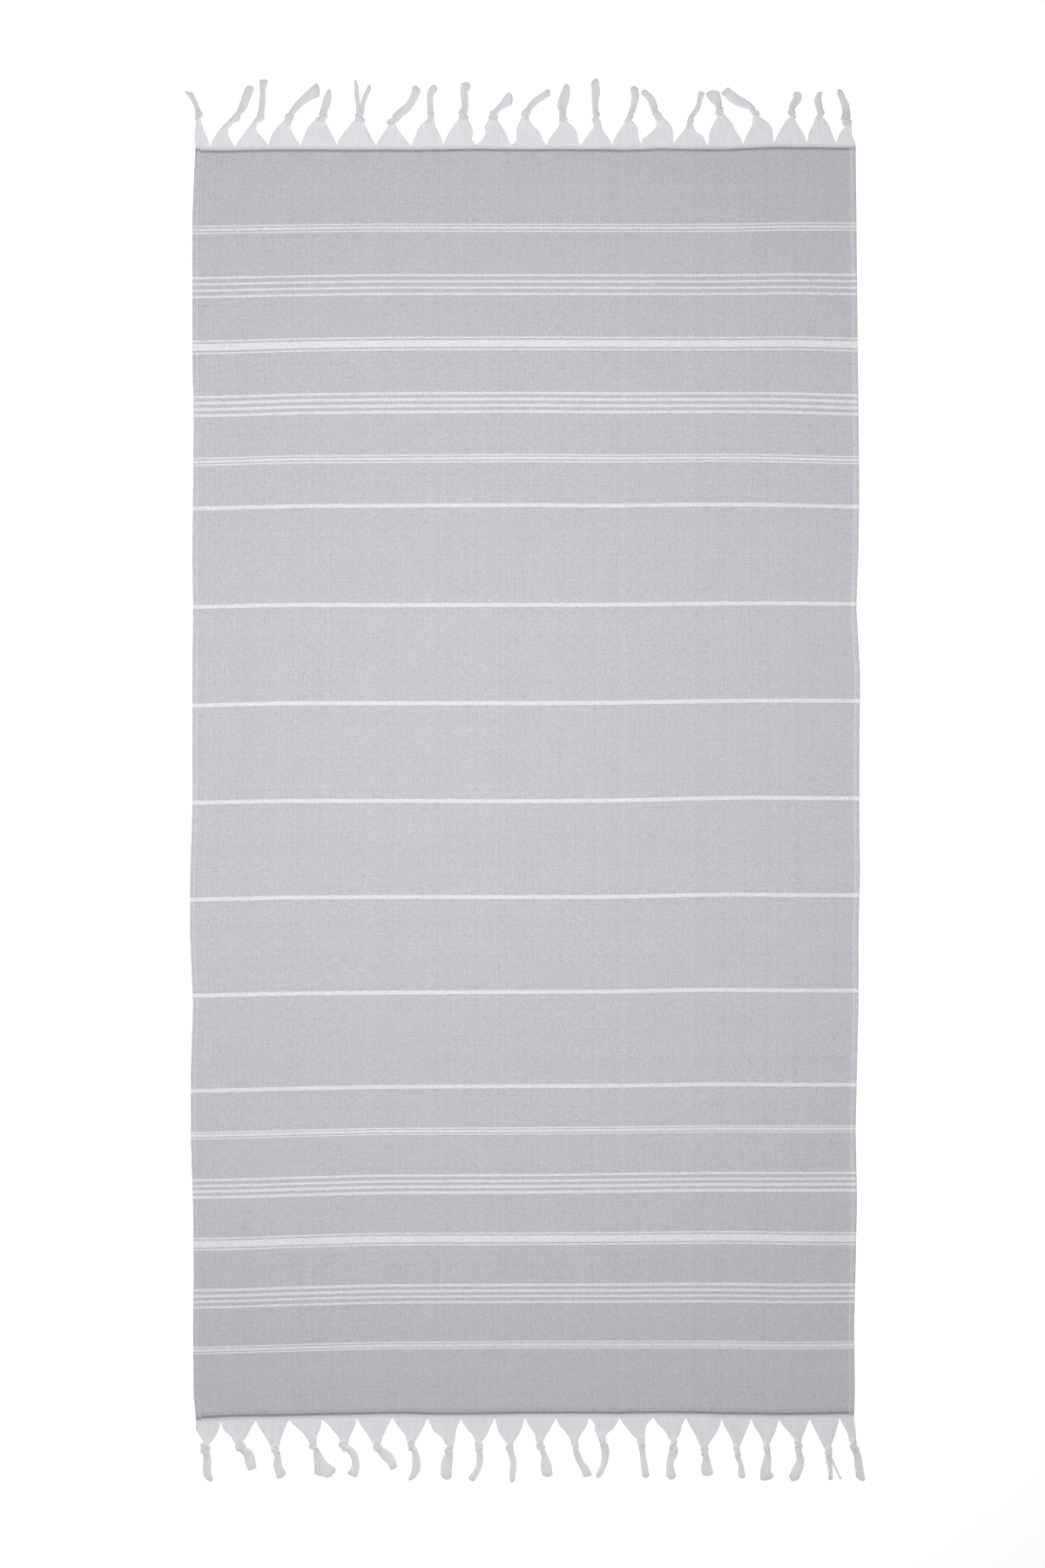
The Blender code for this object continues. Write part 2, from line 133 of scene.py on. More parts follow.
# The tassels from left to right. A fan's side: its root's x, how far out it meets the knot, and its x
# a quarter, half and three quarters of the way there and at the knot. The knot: x, out, width. A
# strand of the tail: how far its left edge, middle and right edge reach past its last place, and its
# places from the knot on, each with x, out and width.
Tassel = namedtuple("Tassel", "left right knot strands")
TOP_TASSELS = (
    ((-446, 36, -447, -447, -446, -445), (-426.5, 36, -428, -432, -435, -438), (-441, 42, 11),
     ((8, 4, 1), (-442, 48, 8), (-444, 54, 7), (-447, 61, 7.5), (-450, 66, 8), (-453, 71, 9))),
    ((-426.5, 39, -422, -416, -408, -397), (-392.5, 33, -397, -401, -400, -390), (-391, 38, 12),
     ((1, 5, 3), (-387, 45, 8), (-383, 51, 11.5), (-379, 60, 12.5), (-375.5, 70, 12.5),
      (-372.5, 78, 12.5))),
    ((-392.5, 39, -386, -379, -371, -363), (-348, 31, -351, -358, -363.5, -360.5), (-358.5, 38, 12),
     ((3, 4, 4), (-357, 45, 9), (-355.5, 54, 9), (-355, 63, 9), (-354.5, 72, 8), (-354.5, 81, 10),
      (-353.5, 87, 11.5))),
    ((-348, 38, -345, -341, -333, -324), (-303.5, 31, -307, -312.5, -316, -317), (-318.5, 38, 12.5),
     ((10.5, 9, 3.5), (-315, 45, 8.5), (-311, 51, 10), (-305.5, 57.5, 11), (-298.5, 64, 12.5),
      (-292, 69, 13.5), (-285, 73.5, 17.5))),
    ((-303.5, 38, -301, -297, -292.5, -281), (-254, 35, -257, -261.5, -266, -270), (-274.5, 39, 14.5),
     ((3.5, 5.5, -0.5), (-273, 45, 10.5), (-270.5, 51.5, 11), (-268.5, 58, 12), (-267, 65, 11.5),
      (-265, 72, 8))),
    ((-254, 38, -252, -245, -237, -230), (-201.5, 34, -205, -209.5, -214, -219), (-223.5, 38.5, 14.5),
     ((2, 3.5, 2), (-224.5, 45, 7.5), (-225, 53, 7), (-226.5, 61, 6), (-227.5, 70, 7), (-228, 80, 6),
      (-229, 87, 4)),
     ((5.5, 5, 2), (-220.5, 45, 7), (-220, 53, 7), (-218.5, 61, 7), (-215, 69.5, 7), (-211, 78, 7))),
    ((-201.5, 29, -199, -195, -189, -184.5), (-153.5, 28, -159, -164.5, -170, -174), (-178, 35, 14),
     ((3, 4.5, -1), (-171.5, 42, 11.5), (-166.5, 47, 12), (-160.5, 51.5, 12), (-155, 58, 11),
      (-150.5, 66, 11), (-147.5, 74, 12), (-147, 78, 12))),
    ((-153.5, 36, -151, -147.5, -143.5, -133), (-110, 37, -112, -116, -120.5, -122.5), (-127.5, 40, 10.5),
     ((2, 2.5, 0), (-128, 46, 9), (-128, 54, 9), (-128.5, 62, 9), (-128.5, 69, 10), (-125.5, 76, 11),
      (-121.5, 80, 9.5))),
    ((-110, 38, -108.5, -103, -97, -89.5), (-65.5, 39, -71.5, -69.5, -73, -77), (-83.5, 43, 14.5),
     ((2, 5.5, 2), (-82.5, 48, 10.5), (-81, 56, 10), (-81.5, 64, 11), (-83, 72, 10.5), (-81, 79, 13),
      (-80, 82, 14.5))),
    ((-65.5, 38, -58, -53.5, -55, -47.5), (-18, 36, -22, -25.5, -31, -37), (-42, 42, 13),
     ((7.5, 7.5, 0.5), (-38.5, 48, 8), (-35, 52, 8.5), (-30, 56, 11), (-25.5, 60.5, 14.5),
      (-22.5, 63, 16.5))),
    ((-18, 39, -11.5, -12.5, -10, -5.5), (29.5, 39, 24, 20.5, 10, 5.5), (1, 44, 11.5),
     ((8, 8.5, 5), (4.5, 50, 8), (9, 56, 9.5), (15, 62, 10), (22, 66.5, 10), (27, 70, 10))),
    ((29.5, 38, 32, 39, 45.5, 46.5), (75.5, 35, 72, 71, 66, 56), (51, 40, 11.5),
     ((3, 7, 3), (51, 46, 9.5), (50, 52, 13), (51, 58, 14.5), (53, 65, 14.5), (55, 72, 13),
      (55.5, 78, 10))),
    ((75.5, 33, 79.5, 85, 91.5, 91.5), (117, 36, 115.5, 108.5, 104, 102), (95.5, 40, 11.5),
     ((4.5, 8.5, 8.5), (95.5, 46, 8.5), (95, 55, 9), (95, 64, 10), (96, 73, 12), (95, 83, 11))),
    ((117, 33, 119.5, 123.5, 129, 136), (158.5, 34, 155, 153.5, 152.5, 146), (140.5, 38, 10.5),
     ((5, 7, 4), (143, 44, 8), (146, 51.5, 9.5), (148, 59.5, 10), (149, 67, 11), (148, 75, 11))),
    ((158.5, 39, 158, 171, 177.5, 175.5), (201.5, 41, 201, 200.5, 196, 185.5), (178, 43, 10.5),
     ((4.5, 6.5, 4), (175, 48.5, 9), (174, 54, 11), (172, 60.5, 11), (168.5, 66.5, 10.5),
      (163, 71.5, 9.5))),
    ((201.5, 28, 203, 208, 213.5, 218.5), (247, 28, 244, 241, 231, 228), (222.5, 32, 10.5),
     ((4.5, 4.5, 4.5), (224, 39, 7.5), (229.5, 46, 7.5), (234, 53.5, 7.5), (236, 62, 7), (238, 70, 8.5))),
    ((247, 39, 248.5, 249, 254, 259), (294.5, 42, 292.5, 285.5, 280.5, 271), (262.5, 47.5, 11),
     ((8.5, 8.5, 3), (261.5, 54, 8), (260.5, 59, 12.5), (258, 64, 16), (255.5, 68.5, 18))),
    ((294.5, 39, 297, 301.5, 307, 307.5), (337, 41, 336, 335, 331, 316), (309.5, 47, 10.5),
     ((8.5, 7, 6.5), (305.5, 53, 8), (298.5, 57, 12), (289.5, 61, 14), (281.5, 66, 15),
      (274.5, 72, 13.5))),
    ((337, 38, 338.5, 342.5, 348, 355), (380.5, 36, 380, 376.5, 370.5, 365), (360.5, 45, 11),
     ((3, 4, 1), (360.5, 51.5, 8.5), (363, 56.5, 10.5), (366.5, 61.5, 12), (369, 66, 11.5),
      (368, 70.5, 11))),
    ((380.5, 38, 382, 383.5, 388.5, 391), (421.5, 38, 418.5, 415, 411.5, 404.5), (398.5, 43, 11.5),
     ((2, 3.5, 5), (398.5, 50, 9), (397, 56, 10.5), (396, 61, 10.5), (396.5, 66, 9.5), (398, 70.5, 7))),
    ((421.5, 29, 421.5, 423.5, 428, 433), (447, 29, 446, 442.5, 442, 441.5), (433.5, 35.5, 14),
     ((4, 8, 4), (434, 42, 12), (434, 49, 11.5), (433, 56, 11), (430, 63, 9.5), (427, 70.5, 9))),
)
BOTTOM_TASSELS = (
    ((-445, 31, -445.5, -445, -440, -435), (-411.5, 34, -412.5, -415, -419.5, -426), (-432, 41, 13),
     ((0, 6.5, 7.5), (-430.5, 48, 9.5), (-429.5, 55, 11.5), (-430, 63, 12), (-430, 71, 12),
      (-428.5, 78, 11))),
    ((-411.5, 32, -410.5, -407, -398, -394), (-364, 32, -367.5, -372, -376, -382), (-384.5, 37, 14),
     ((2, 2, 2), (-380, 42.5, 10.5), (-374.5, 47.5, 14.5), (-372, 54, 15), (-371, 61, 14.5),
      (-369, 67, 12.5))),
    ((-364, 39, -361, -354.5, -348.5, -343.5), (-318.5, 37, -323, -326, -330, -332), (-336.5, 44, 11.5),
     ((2.5, 2.5, 0.5), (-334, 51, 8.5), (-334.5, 57, 11), (-334.5, 63, 12.5), (-332, 70, 13),
      (-329, 77, 14.5))),
    ((-318.5, 33, -313, -303.5, -296.5, -291.5), (-274.5, 32, -275.5, -277.5, -281.5, -281.5),
     (-286, 34.5, 11.5),
     ((2, 6, 8), (-284, 42, 4), (-282.5, 49, 8), (-280, 58, 11), (-278.5, 66, 14), (-277.5, 72, 16)),
     ((4, 6.5, 4), (-279.5, 42, 3.5), (-277.5, 49, 7), (-274, 58, 10), (-269, 66, 14), (-264.5, 72, 19))),
    ((-274.5, 33, -266.5, -259.5, -252.5, -250), (-227, 33, -229.5, -232.5, -237, -238),
     (-243.5, 36.5, 12),
     ((2.5, 2.5, 1), (-237.5, 41, 9.5), (-232, 48, 10.5), (-229.5, 56, 10), (-229, 64, 11),
      (-230.5, 70, 12.5), (-233.5, 75.5, 15))),
    ((-227, 33, -222.5, -216.5, -211, -206), (-179.5, 32, -184.5, -188, -192, -194), (-199, 38, 12),
     ((3.5, 3, 1.5), (-194.5, 42.5, 10), (-189.5, 48, 14.5), (-184, 53.5, 14.5), (-180, 59, 12),
      (-178, 65, 11))),
    ((-179.5, 30, -174, -168, -162, -160), (-132, 30, -135.5, -139, -143.5, -148), (-153, 36.5, 11.5),
     ((13.5, 10.5, 1.5), (-149.5, 42.5, 8.5), (-148, 50, 10.5), (-147, 59, 11.5), (-147, 67, 11.5),
      (-149, 72.5, 10.5))),
    ((-132, 34, -127.5, -123.5, -112.5, -108.5), (-86.5, 32, -90, -93, -94, -95), (-102.5, 41, 12.5),
     ((2, 7.5, 5), (-102, 47, 10), (-104, 53, 13.5), (-105.5, 59, 15.5), (-106.5, 67, 16),
      (-106.5, 75, 15.5))),
    ((-86.5, 32, -83, -77, -69.5, -67.5), (-40.5, 32, -45, -48.5, -53, -59), (-62, 38, 11),
     ((6.5, 7, 5.5), (-61.5, 44, 8), (-61, 52.5, 9.5), (-61.5, 60, 9), (-64, 68.5, 8.5), (-70, 78, 9.5))),
    ((-40.5, 32, -38.5, -37, -32, -26), (0, 32, -3, -5.5, -10, -15.5), (-20.5, 38, 11),
     ((3, 8.5, 3), (-19.5, 44, 8.5), (-17, 52, 9), (-16, 61, 8.5), (-16.5, 70, 9), (-17, 78, 8.5))),
    ((0, 31, 4, 9.5, 13.5, 14.5), (42.5, 31, 37.5, 33.5, 28, 24.5), (21, 37, 11),
     ((4, 8, 6), (23.5, 43, 7.5), (26.5, 50.5, 9), (27.5, 57.5, 13), (28.5, 65, 15.5), (29.5, 71, 15))),
    ((42.5, 36, 46, 54.5, 60.5, 62.5), (86.5, 36, 84, 78, 72.5, 72), (69, 42, 9),
     ((2.5, 3.5, 4.5), (70.5, 48, 9), (73, 55, 9.5), (77, 62, 10), (81, 68, 11.5), (84, 75, 12))),
    ((86.5, 28, 93.5, 94, 96, 100), (128, 27, 124, 119.5, 111, 107.5), (105, 30, 9.5),
     ((4.5, 5.5, 2), (107, 36, 11), (109, 45, 11), (108, 54, 10), (106, 63, 8.5), (102, 72, 8.5),
      (100.5, 75, 8))),
    ((128, 28, 132.5, 138.5, 144, 152), (173.5, 27, 165.5, 163, 162.5, 162), (157, 32, 10.5),
     ((2.5, 5.5, 3), (157.5, 38, 9.5), (159, 46, 8), (160, 55, 9), (161.5, 65, 10), (163, 75, 10))),
    ((173.5, 28, 179.5, 186.5, 191.5, 195), (217.5, 27, 213.5, 211.5, 209.5, 205), (200.5, 35.5, 11),
     ((2.5, 6.5, 3.5), (201.5, 42, 12), (199.5, 49, 12.5), (196.5, 58, 10), (196, 66, 10.5),
      (197.5, 76, 13.5))),
    ((217.5, 39, 222.5, 229, 233, 238), (266, 37, 263.5, 259.5, 253, 246.5), (243, 44, 10.5),
     ((3, 5.5, 4), (244.5, 50, 8), (245, 57, 11.5), (245, 64, 14), (246.5, 72, 16))),
    ((266, 39, 269, 275, 279.5, 282.5), (305.5, 37, 302.5, 298.5, 294.5, 290.5), (286.5, 44, 10),
     ((2.5, 3.5, 3.5), (287, 50.5, 8), (290, 57, 7), (292, 64, 7.5), (292.5, 71, 9), (293, 77, 10))),
    ((305.5, 34, 309, 314, 319.5, 322), (343, 34, 341.5, 339, 335, 330.5), (326.5, 38, 9),
     ((1.5, 4.5, 2.5), (327.5, 44, 8), (328, 52, 10), (327, 60, 12.5), (325.5, 68, 14), (325.5, 74, 15.5),
      (327, 79, 20))),
    ((343, 31, 347.5, 354, 360.5, 365), (385, 31, 382, 379.5, 375.5, 374), (369.5, 37, 10),
     ((9, 12.5, 7), (369.5, 43.5, 8.5), (371.5, 51, 10), (372.5, 58, 11.5), (370, 65, 13.5),
      (366.5, 73, 14))),
    ((385, 42, 389.5, 395, 400, 405.5), (425.5, 38, 423, 420.5, 417, 413.5), (410, 45, 9.5),
     ((2.5, 3, 2.5), (410, 51, 7.5), (410.5, 58, 7), (412.5, 65, 7), (413, 73, 6.5), (413, 80, 7)),
     ((2, 2.5, 2), (413, 51, 3.5), (416, 58, 3.5), (419.5, 66, 3), (423, 73.5, 3), (426, 79.5, 3))),
    ((425.5, 31, 429.5, 434, 437, 438), (445, 31, 446, 447, 447.5, 448.5), (444, 35.5, 11),
     ((3, 9.5, 9.5), (446.5, 41.5, 10), (449.5, 50, 10), (450.5, 60, 11.5), (452, 68, 12),
      (453, 75, 12))),
)

# The floor, the light and the view, in metres
FLOOR_SIZE = 20.0
FLOOR_DROP = 0.0003      # it lies this far under the towel
FLOOR_COLOUR = (0.9, 0.9, 0.9, 1.0)
WHITE_GLOW = (1.0, 1.0, 1.0, 1.0)
FLOOR_GLOW = 0.35
LIGHT_PLACE = (-0.18, 0.11, 1.82)
LIGHT_SIZE = 1.0
LIGHT_POWER = 30.0
ROOM_COLOUR = (0.97, 0.98, 1.0, 1.0)
ROOM_LIGHT = 0.35
VIEW_HEIGHT = 2.1204     # of the floor, from the picture's foot to its top
VIEW_CENTRE = (-0.0031, -0.0037)
LENS = 100.0             # millimetres, like the sensor
SENSOR = 36.0


# ---- places and lines ----

def towel_middle():
    """The middle of the towel's box in the tables' own millimetres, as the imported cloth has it."""
    low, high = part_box("towel_cloth")
    left = min(side[1] for side in SIDES)
    right = max(side[2] for side in SIDES)
    middle_x = (left + right) / 2 - (low[0] + high[0]) / 2 / MM
    return middle_x, CLOTH_LENGTH / 2 + PACKED_REACH - high[1] / MM


MIDDLE_X, MIDDLE_Y = towel_middle()


def in_metres(points):
    """Points in the tables' millimetres, as places in the row frame."""
    return (numpy.asarray(points, float) - (MIDDLE_X, MIDDLE_Y, 0.0)) * MM


def as_points(x, y, z):
    """Points from their x, y and z, each of which may be one number for them all."""
    return numpy.stack(numpy.broadcast_arrays(x, y, z), axis=1)


def unit(vectors):
    """The same directions with a length of 1."""
    return vectors / numpy.linalg.norm(vectors, axis=-1, keepdims=True)


def step_lengths(line):
    """The distance from each point of a line to the next."""
    return numpy.linalg.norm(numpy.diff(line, axis=0), axis=1)


def added_up(steps):
    """How far along each point is, from the lengths of the steps between them."""
    return numpy.concatenate(([0.0], numpy.cumsum(steps)))


def evenly_spaced(line, count):
    """The same line with evenly spaced points."""
    along = added_up(step_lengths(line))
    wanted = numpy.linspace(0.0, along[-1], count)
    return numpy.stack([numpy.interp(wanted, along, part) for part in line.T], axis=1)


def end_reach(end, x):
    """How far one end of the cloth reaches past its mean line at x."""
    places, reaches = zip(*END_REACHES[end])
    return numpy.interp(x, places, reaches)


def end_y(end, out):
    """y at a distance out from one end of the towel."""
    return (ROOT_LINE + out) * (1 if end == TOP else -1)


def sag_rows():
    """The sag table with the cloth's two ends added, as distances down and an array of sags."""
    top = [-float(end_reach(TOP, x)) for x in SAG_PLACES]
    bottom = [float(end_reach(BOTTOM, x)) for x in SAG_PLACES]
    rows = [(0.0, top)] + list(SAGS) + [(CLOTH_LENGTH, bottom)]
    return numpy.array([down for down, _ in rows]), numpy.array([sags for _, sags in rows], float)


SAG_DOWNS, SAG_TABLE = sag_rows()


def sag(x, down):
    """How far the weft line at a distance down lies below its level, at each x."""
    sags = numpy.array([numpy.interp(down, SAG_DOWNS, column) for column in SAG_TABLE.T])
    eased = sum(numpy.interp(x + ease, SAG_PLACES, sags) for ease in (-SAG_EASE, 0.0, SAG_EASE)) / 3
    end_sag = -end_reach(TOP, x) if down < CLOTH_LENGTH / 2 else end_reach(BOTTOM, x)
    share = min(1.0, max(0.0, min(down, CLOTH_LENGTH - down)) / END_WAVES)
    return end_sag + (eased - end_sag) * share


def on_cloth(x, down):
    """y of the weft line at a distance down, at each x."""
    return CLOTH_LENGTH / 2 - down - sag(x, down)


def cloth_edges(down):
    """x of the cloth's left and right edge at a distance down."""
    downs, left, right = numpy.array(SIDES, float).T
    return numpy.interp(down, downs, left), numpy.interp(down, downs, right)


# ---- materials ----

def set_inputs(node, values):
    """Set a node's inputs to constants by their names."""
    for name, value in values.items():
        node.inputs[name].default_value = value


def opaque(colour):
    """A colour that a socket takes; a result of another node stays as it is."""
    return colour if isinstance(colour, bpy.types.NodeSocket) else (*colour, 1.0)


class Recipe:
    """A material's nodes, added one by one. Each step returns the socket that holds its result."""

    def __init__(self, name, roughness, sheen):
        self.material = bpy.data.materials.new(name)
        self.material.use_nodes = True
        self.tree = self.material.node_tree
        self.shader = self.tree.nodes["Principled BSDF"]
        set_inputs(self.shader, {"Roughness": roughness, "Specular IOR Level": 0.25,
                                 "Sheen Weight": sheen, "Sheen Roughness": 0.5})

    def feed(self, socket, value):
        """Set a socket to a constant, or link it to another node's result."""
        if isinstance(value, bpy.types.NodeSocket):
            self.tree.links.new(value, socket)
        else:
            socket.default_value = value

    def fed(self, node, values, result):
        """Feed a node's inputs and return the socket of its result."""
        for name, value in values.items():
            self.feed(node.inputs[name], value)
        return node.outputs[result]

    def math(self, operation, *values):
        node = self.tree.nodes.new("ShaderNodeMath")
        node.operation = operation
        return self.fed(node, dict(enumerate(values)), "Value")

    def times(self, value, *factors):
        """A value multiplied by each factor in turn."""
        for factor in factors:
            value = self.math("MULTIPLY", value, factor)
        return value

    def ramp(self, value, low, high, start=0.0, end=1.0, smooth=True):
        """start below low, end above high, and a smooth or straight change between them."""
        node = self.tree.nodes.new("ShaderNodeMapRange")
        node.interpolation_type = "SMOOTHSTEP" if smooth else "LINEAR"
        values = {"Value": value, "From Min": low, "From Max": high, "To Min": start, "To Max": end}
        return self.fed(node, values, "Result")

    def blend(self, share, first, second):
        """The first colour at share 0 and the second at 1."""
        node = self.tree.nodes.new("ShaderNodeMix")
        node.data_type = "RGBA"
        return self.fed(node, {"Factor": share, "A": opaque(first), "B": opaque(second)}, "Result")

    def scaled(self, colour, *shades):
        """A colour, fixed or from a socket, made lighter or darker by each shade."""
        node = self.tree.nodes.new("ShaderNodeVectorMath")
        node.operation = "SCALE"
        return self.fed(node, {0: colour, "Scale": self.times(*shades)}, "Vector")

    def noise(self, place, rates):
        """Soft noise of about 0.5. A rate is how often it changes along its part of the place."""
        vector = self.tree.nodes.new("ShaderNodeCombineXYZ")
        for socket, part, rate in zip(vector.inputs, place, rates):
            self.feed(socket, self.times(part, rate))
        node = self.tree.nodes.new("ShaderNodeTexNoise")
        return self.fed(node, {"Vector": vector.outputs["Vector"], "Scale": 1.0, "Detail": 2.0}, "Fac")

    def grain(self, place, rates, amount):
        """Noise as a shade that is an amount above or below 1."""
        return self.ramp(self.noise(place, rates), 0.25, 0.75, 1 - amount, 1 + amount, smooth=False)

    def yarn_number(self, place, pitch):
        """Which yarn of the weave a place is on."""
        return self.math("FLOOR", self.math("DIVIDE", place, pitch))

    def yarn_shade(self, number, lowest, highest):
        """A different shade for each yarn."""
        node = self.tree.nodes.new("ShaderNodeTexWhiteNoise")
        node.noise_dimensions = "1D"
        chance = self.fed(node, {"W": number}, "Value")
        return self.ramp(chance, 0.0, 1.0, lowest, highest, smooth=False)

    def plies(self, spot, turns, stray=0.0):
        """A twisted yarn's plies, from -1 to 1 and back with each turn round it and along it."""
        turned = self.math("ADD", self.times(spot["X"], turns), spot["Y"])
        return self.math("SINE", self.times(self.math("ADD", turned, stray), 2 * math.pi))

    def split(self, vector):
        node = self.tree.nodes.new("ShaderNodeSeparateXYZ")
        self.feed(node.inputs["Vector"], vector)
        return node.outputs

    def uv(self):
        node = self.tree.nodes.new("ShaderNodeUVMap")
        node.uv_map = "UVMap"
        return self.split(node.outputs["UV"])

    def place(self):
        return self.split(self.tree.nodes.new("ShaderNodeTexCoord").outputs["Object"])

    def finish(self, colour, height, depth, strength):
        """Give the shader its colour and a bump whose height of 1 is depth millimetres."""
        bump = self.tree.nodes.new("ShaderNodeBump")
        values = {"Height": height, "Distance": depth * MM, "Strength": strength}
        self.feed(self.shader.inputs["Normal"], self.fed(bump, values, "Normal"))
        self.feed(self.shader.inputs["Base Color"], colour)
        return self.material


WHITE_WARP = (0.70, 0.70, 0.725)
WHITE_LINE = (0.715, 0.715, 0.745)
WHITE_BAND = (0.74, 0.742, 0.762)       # the broad stripes' softer, fuller yarn
GREY_WEFT = (0.322, 0.33, 0.358)
RIB_GREY = (0.345, 0.355, 0.37)
DARK_PICK = (0.24, 0.245, 0.255)
HEADING_INNER = (0.65, 0.665, 0.70)
HEADING_HEM = (0.40, 0.41, 0.44)
HEADING_OUTER = (0.735, 0.75, 0.785)
# The sewing thread: painted shade in the hollows of its twist, and its white
THREAD_HOLLOW_SHADE = (0.68, 0.69, 0.715)
THREAD_WHITE = (0.78, 0.79, 0.815)
# The fringe's yarn, one cotton in painted lit and shaded copies: its white at the top and its white at
# the bottom, a little whiter, both painted light and shade set for each part and end; the painted shade
# of its tips; and how much darker it is between its plies, also painted shade
FRINGE_YARNS = {
    "fan": ((0.81, 0.812, 0.836), (0.82, 0.82, 0.842), 1.0, 0.01),
    "knot": ((0.765, 0.775, 0.80), (0.82, 0.83, 0.855), 1.0, 0.03),
    "tail": ((0.78, 0.785, 0.81), (0.85, 0.855, 0.88), 0.90, 0.03),
}
CROSSING = 0.12          # how softly warp and weft change places where they cross
PICK_SHADES = (0.92, 1.08)
WARP_SHADES = (0.95, 1.05)
HEADING_SHADES = (0.97, 1.02)
HEADING_HOLLOW = 0.94    # its shade in the hollows between its yarns
HEADING_GRAIN = ((0.15, 0.5), 0.05)     # its unevenness, as in GRAIN
RIB_START, RIB_END = RIB_WIDTH - 1.2, RIB_WIDTH + 1.3       # the rib's grey fades out between them, the fade into the cloth partly painted shade beside the raised rib
HEM_RIB = 0.5            # how much of the rib's grey shows across the hems
FAINT_LINE = 3.2         # a darker pick this far inside the bottom rib
FAINT_HALF = 0.8         # half that pick's width
CLOSE_PICKS = 4.2        # the picks are beaten closer this far inside the bottom rib
CLOSE_SHADE = 0.94
HEM_SHADOW_GAP = 0.7         # a faint painted shadow runs this far inside each hem, at the foot of its fold
HEM_SHADOW_HALF = 0.6        # half its width
HEM_SHADOW_SHADE = 0.96
LEFT_HEM_LIT = 1.02    # painted light makes the folded hems this much lighter, the right one more
RIGHT_HEM_LIT = 1.08
# The cloth's unevenness: how often it changes across and down, per millimetre, and how much
GRAIN = (
    ((0.42, 0.36), 0.135),
    ((0.5, 0.09), 0.05),
    ((0.08, 0.6), 0.04),
    ((0.02, 0.02), 0.015),
)
YARN_TURNS = 14.0        # of the plies, from a fringe yarn's root to its tip
YARN_RATES = (2500.0, 90.0, 1500.0)     # per metre, so that each yarn's plies stray their own way
PLY_STRAY = 4.0          # turns
LOCK_RATES = (350.0, 45.0, 300.0)       # per metre, for light and dark locks of yarn
LOCK_SHADES = (0.96, 1.03)
TIP_START = 0.84         # how far along a yarn its tip begins
THREAD_TURNS = 1500.0    # along a whole seam
# Bumps: how deep in millimetres, and how strong
WEAVE_BUMP = (0.12, 0.7)
YARN_BUMP = (0.04, 0.4)
THREAD_BUMP = (0.04, 0.5)


def woven(recipe):
    """A plain weave: across and down in millimetres, how far the warp is over, and the height."""
    spot = recipe.uv()
    across, down = recipe.times(spot["X"], 1 / MM), recipe.times(spot["Y"], 1 / MM)
    warp_wave = recipe.math("SINE", recipe.times(across, math.pi / WARP_PITCH))
    weft_wave = recipe.math("SINE", recipe.times(down, math.pi / WEFT_PITCH))
    over = recipe.times(warp_wave, weft_wave)
    return across, down, over, recipe.math("ABSOLUTE", over)


def white_line_share(recipe, down, kinds):
    """1 on these kinds' white weft lines and 0 between them, by the distance down."""
    share = 0.0
    for middle, kind in STRIPES:
        if kind in kinds:
            spread = TOP_SPREAD + (BOTTOM_SPREAD - TOP_SPREAD) * middle / CLOTH_LENGTH
            for offset, width in STRIPE_LINES[kind]:
                on_line = recipe.math("COMPARE", down, middle + spread * offset, width / 2)
                share = recipe.math("MAXIMUM", share, on_line)
    return share


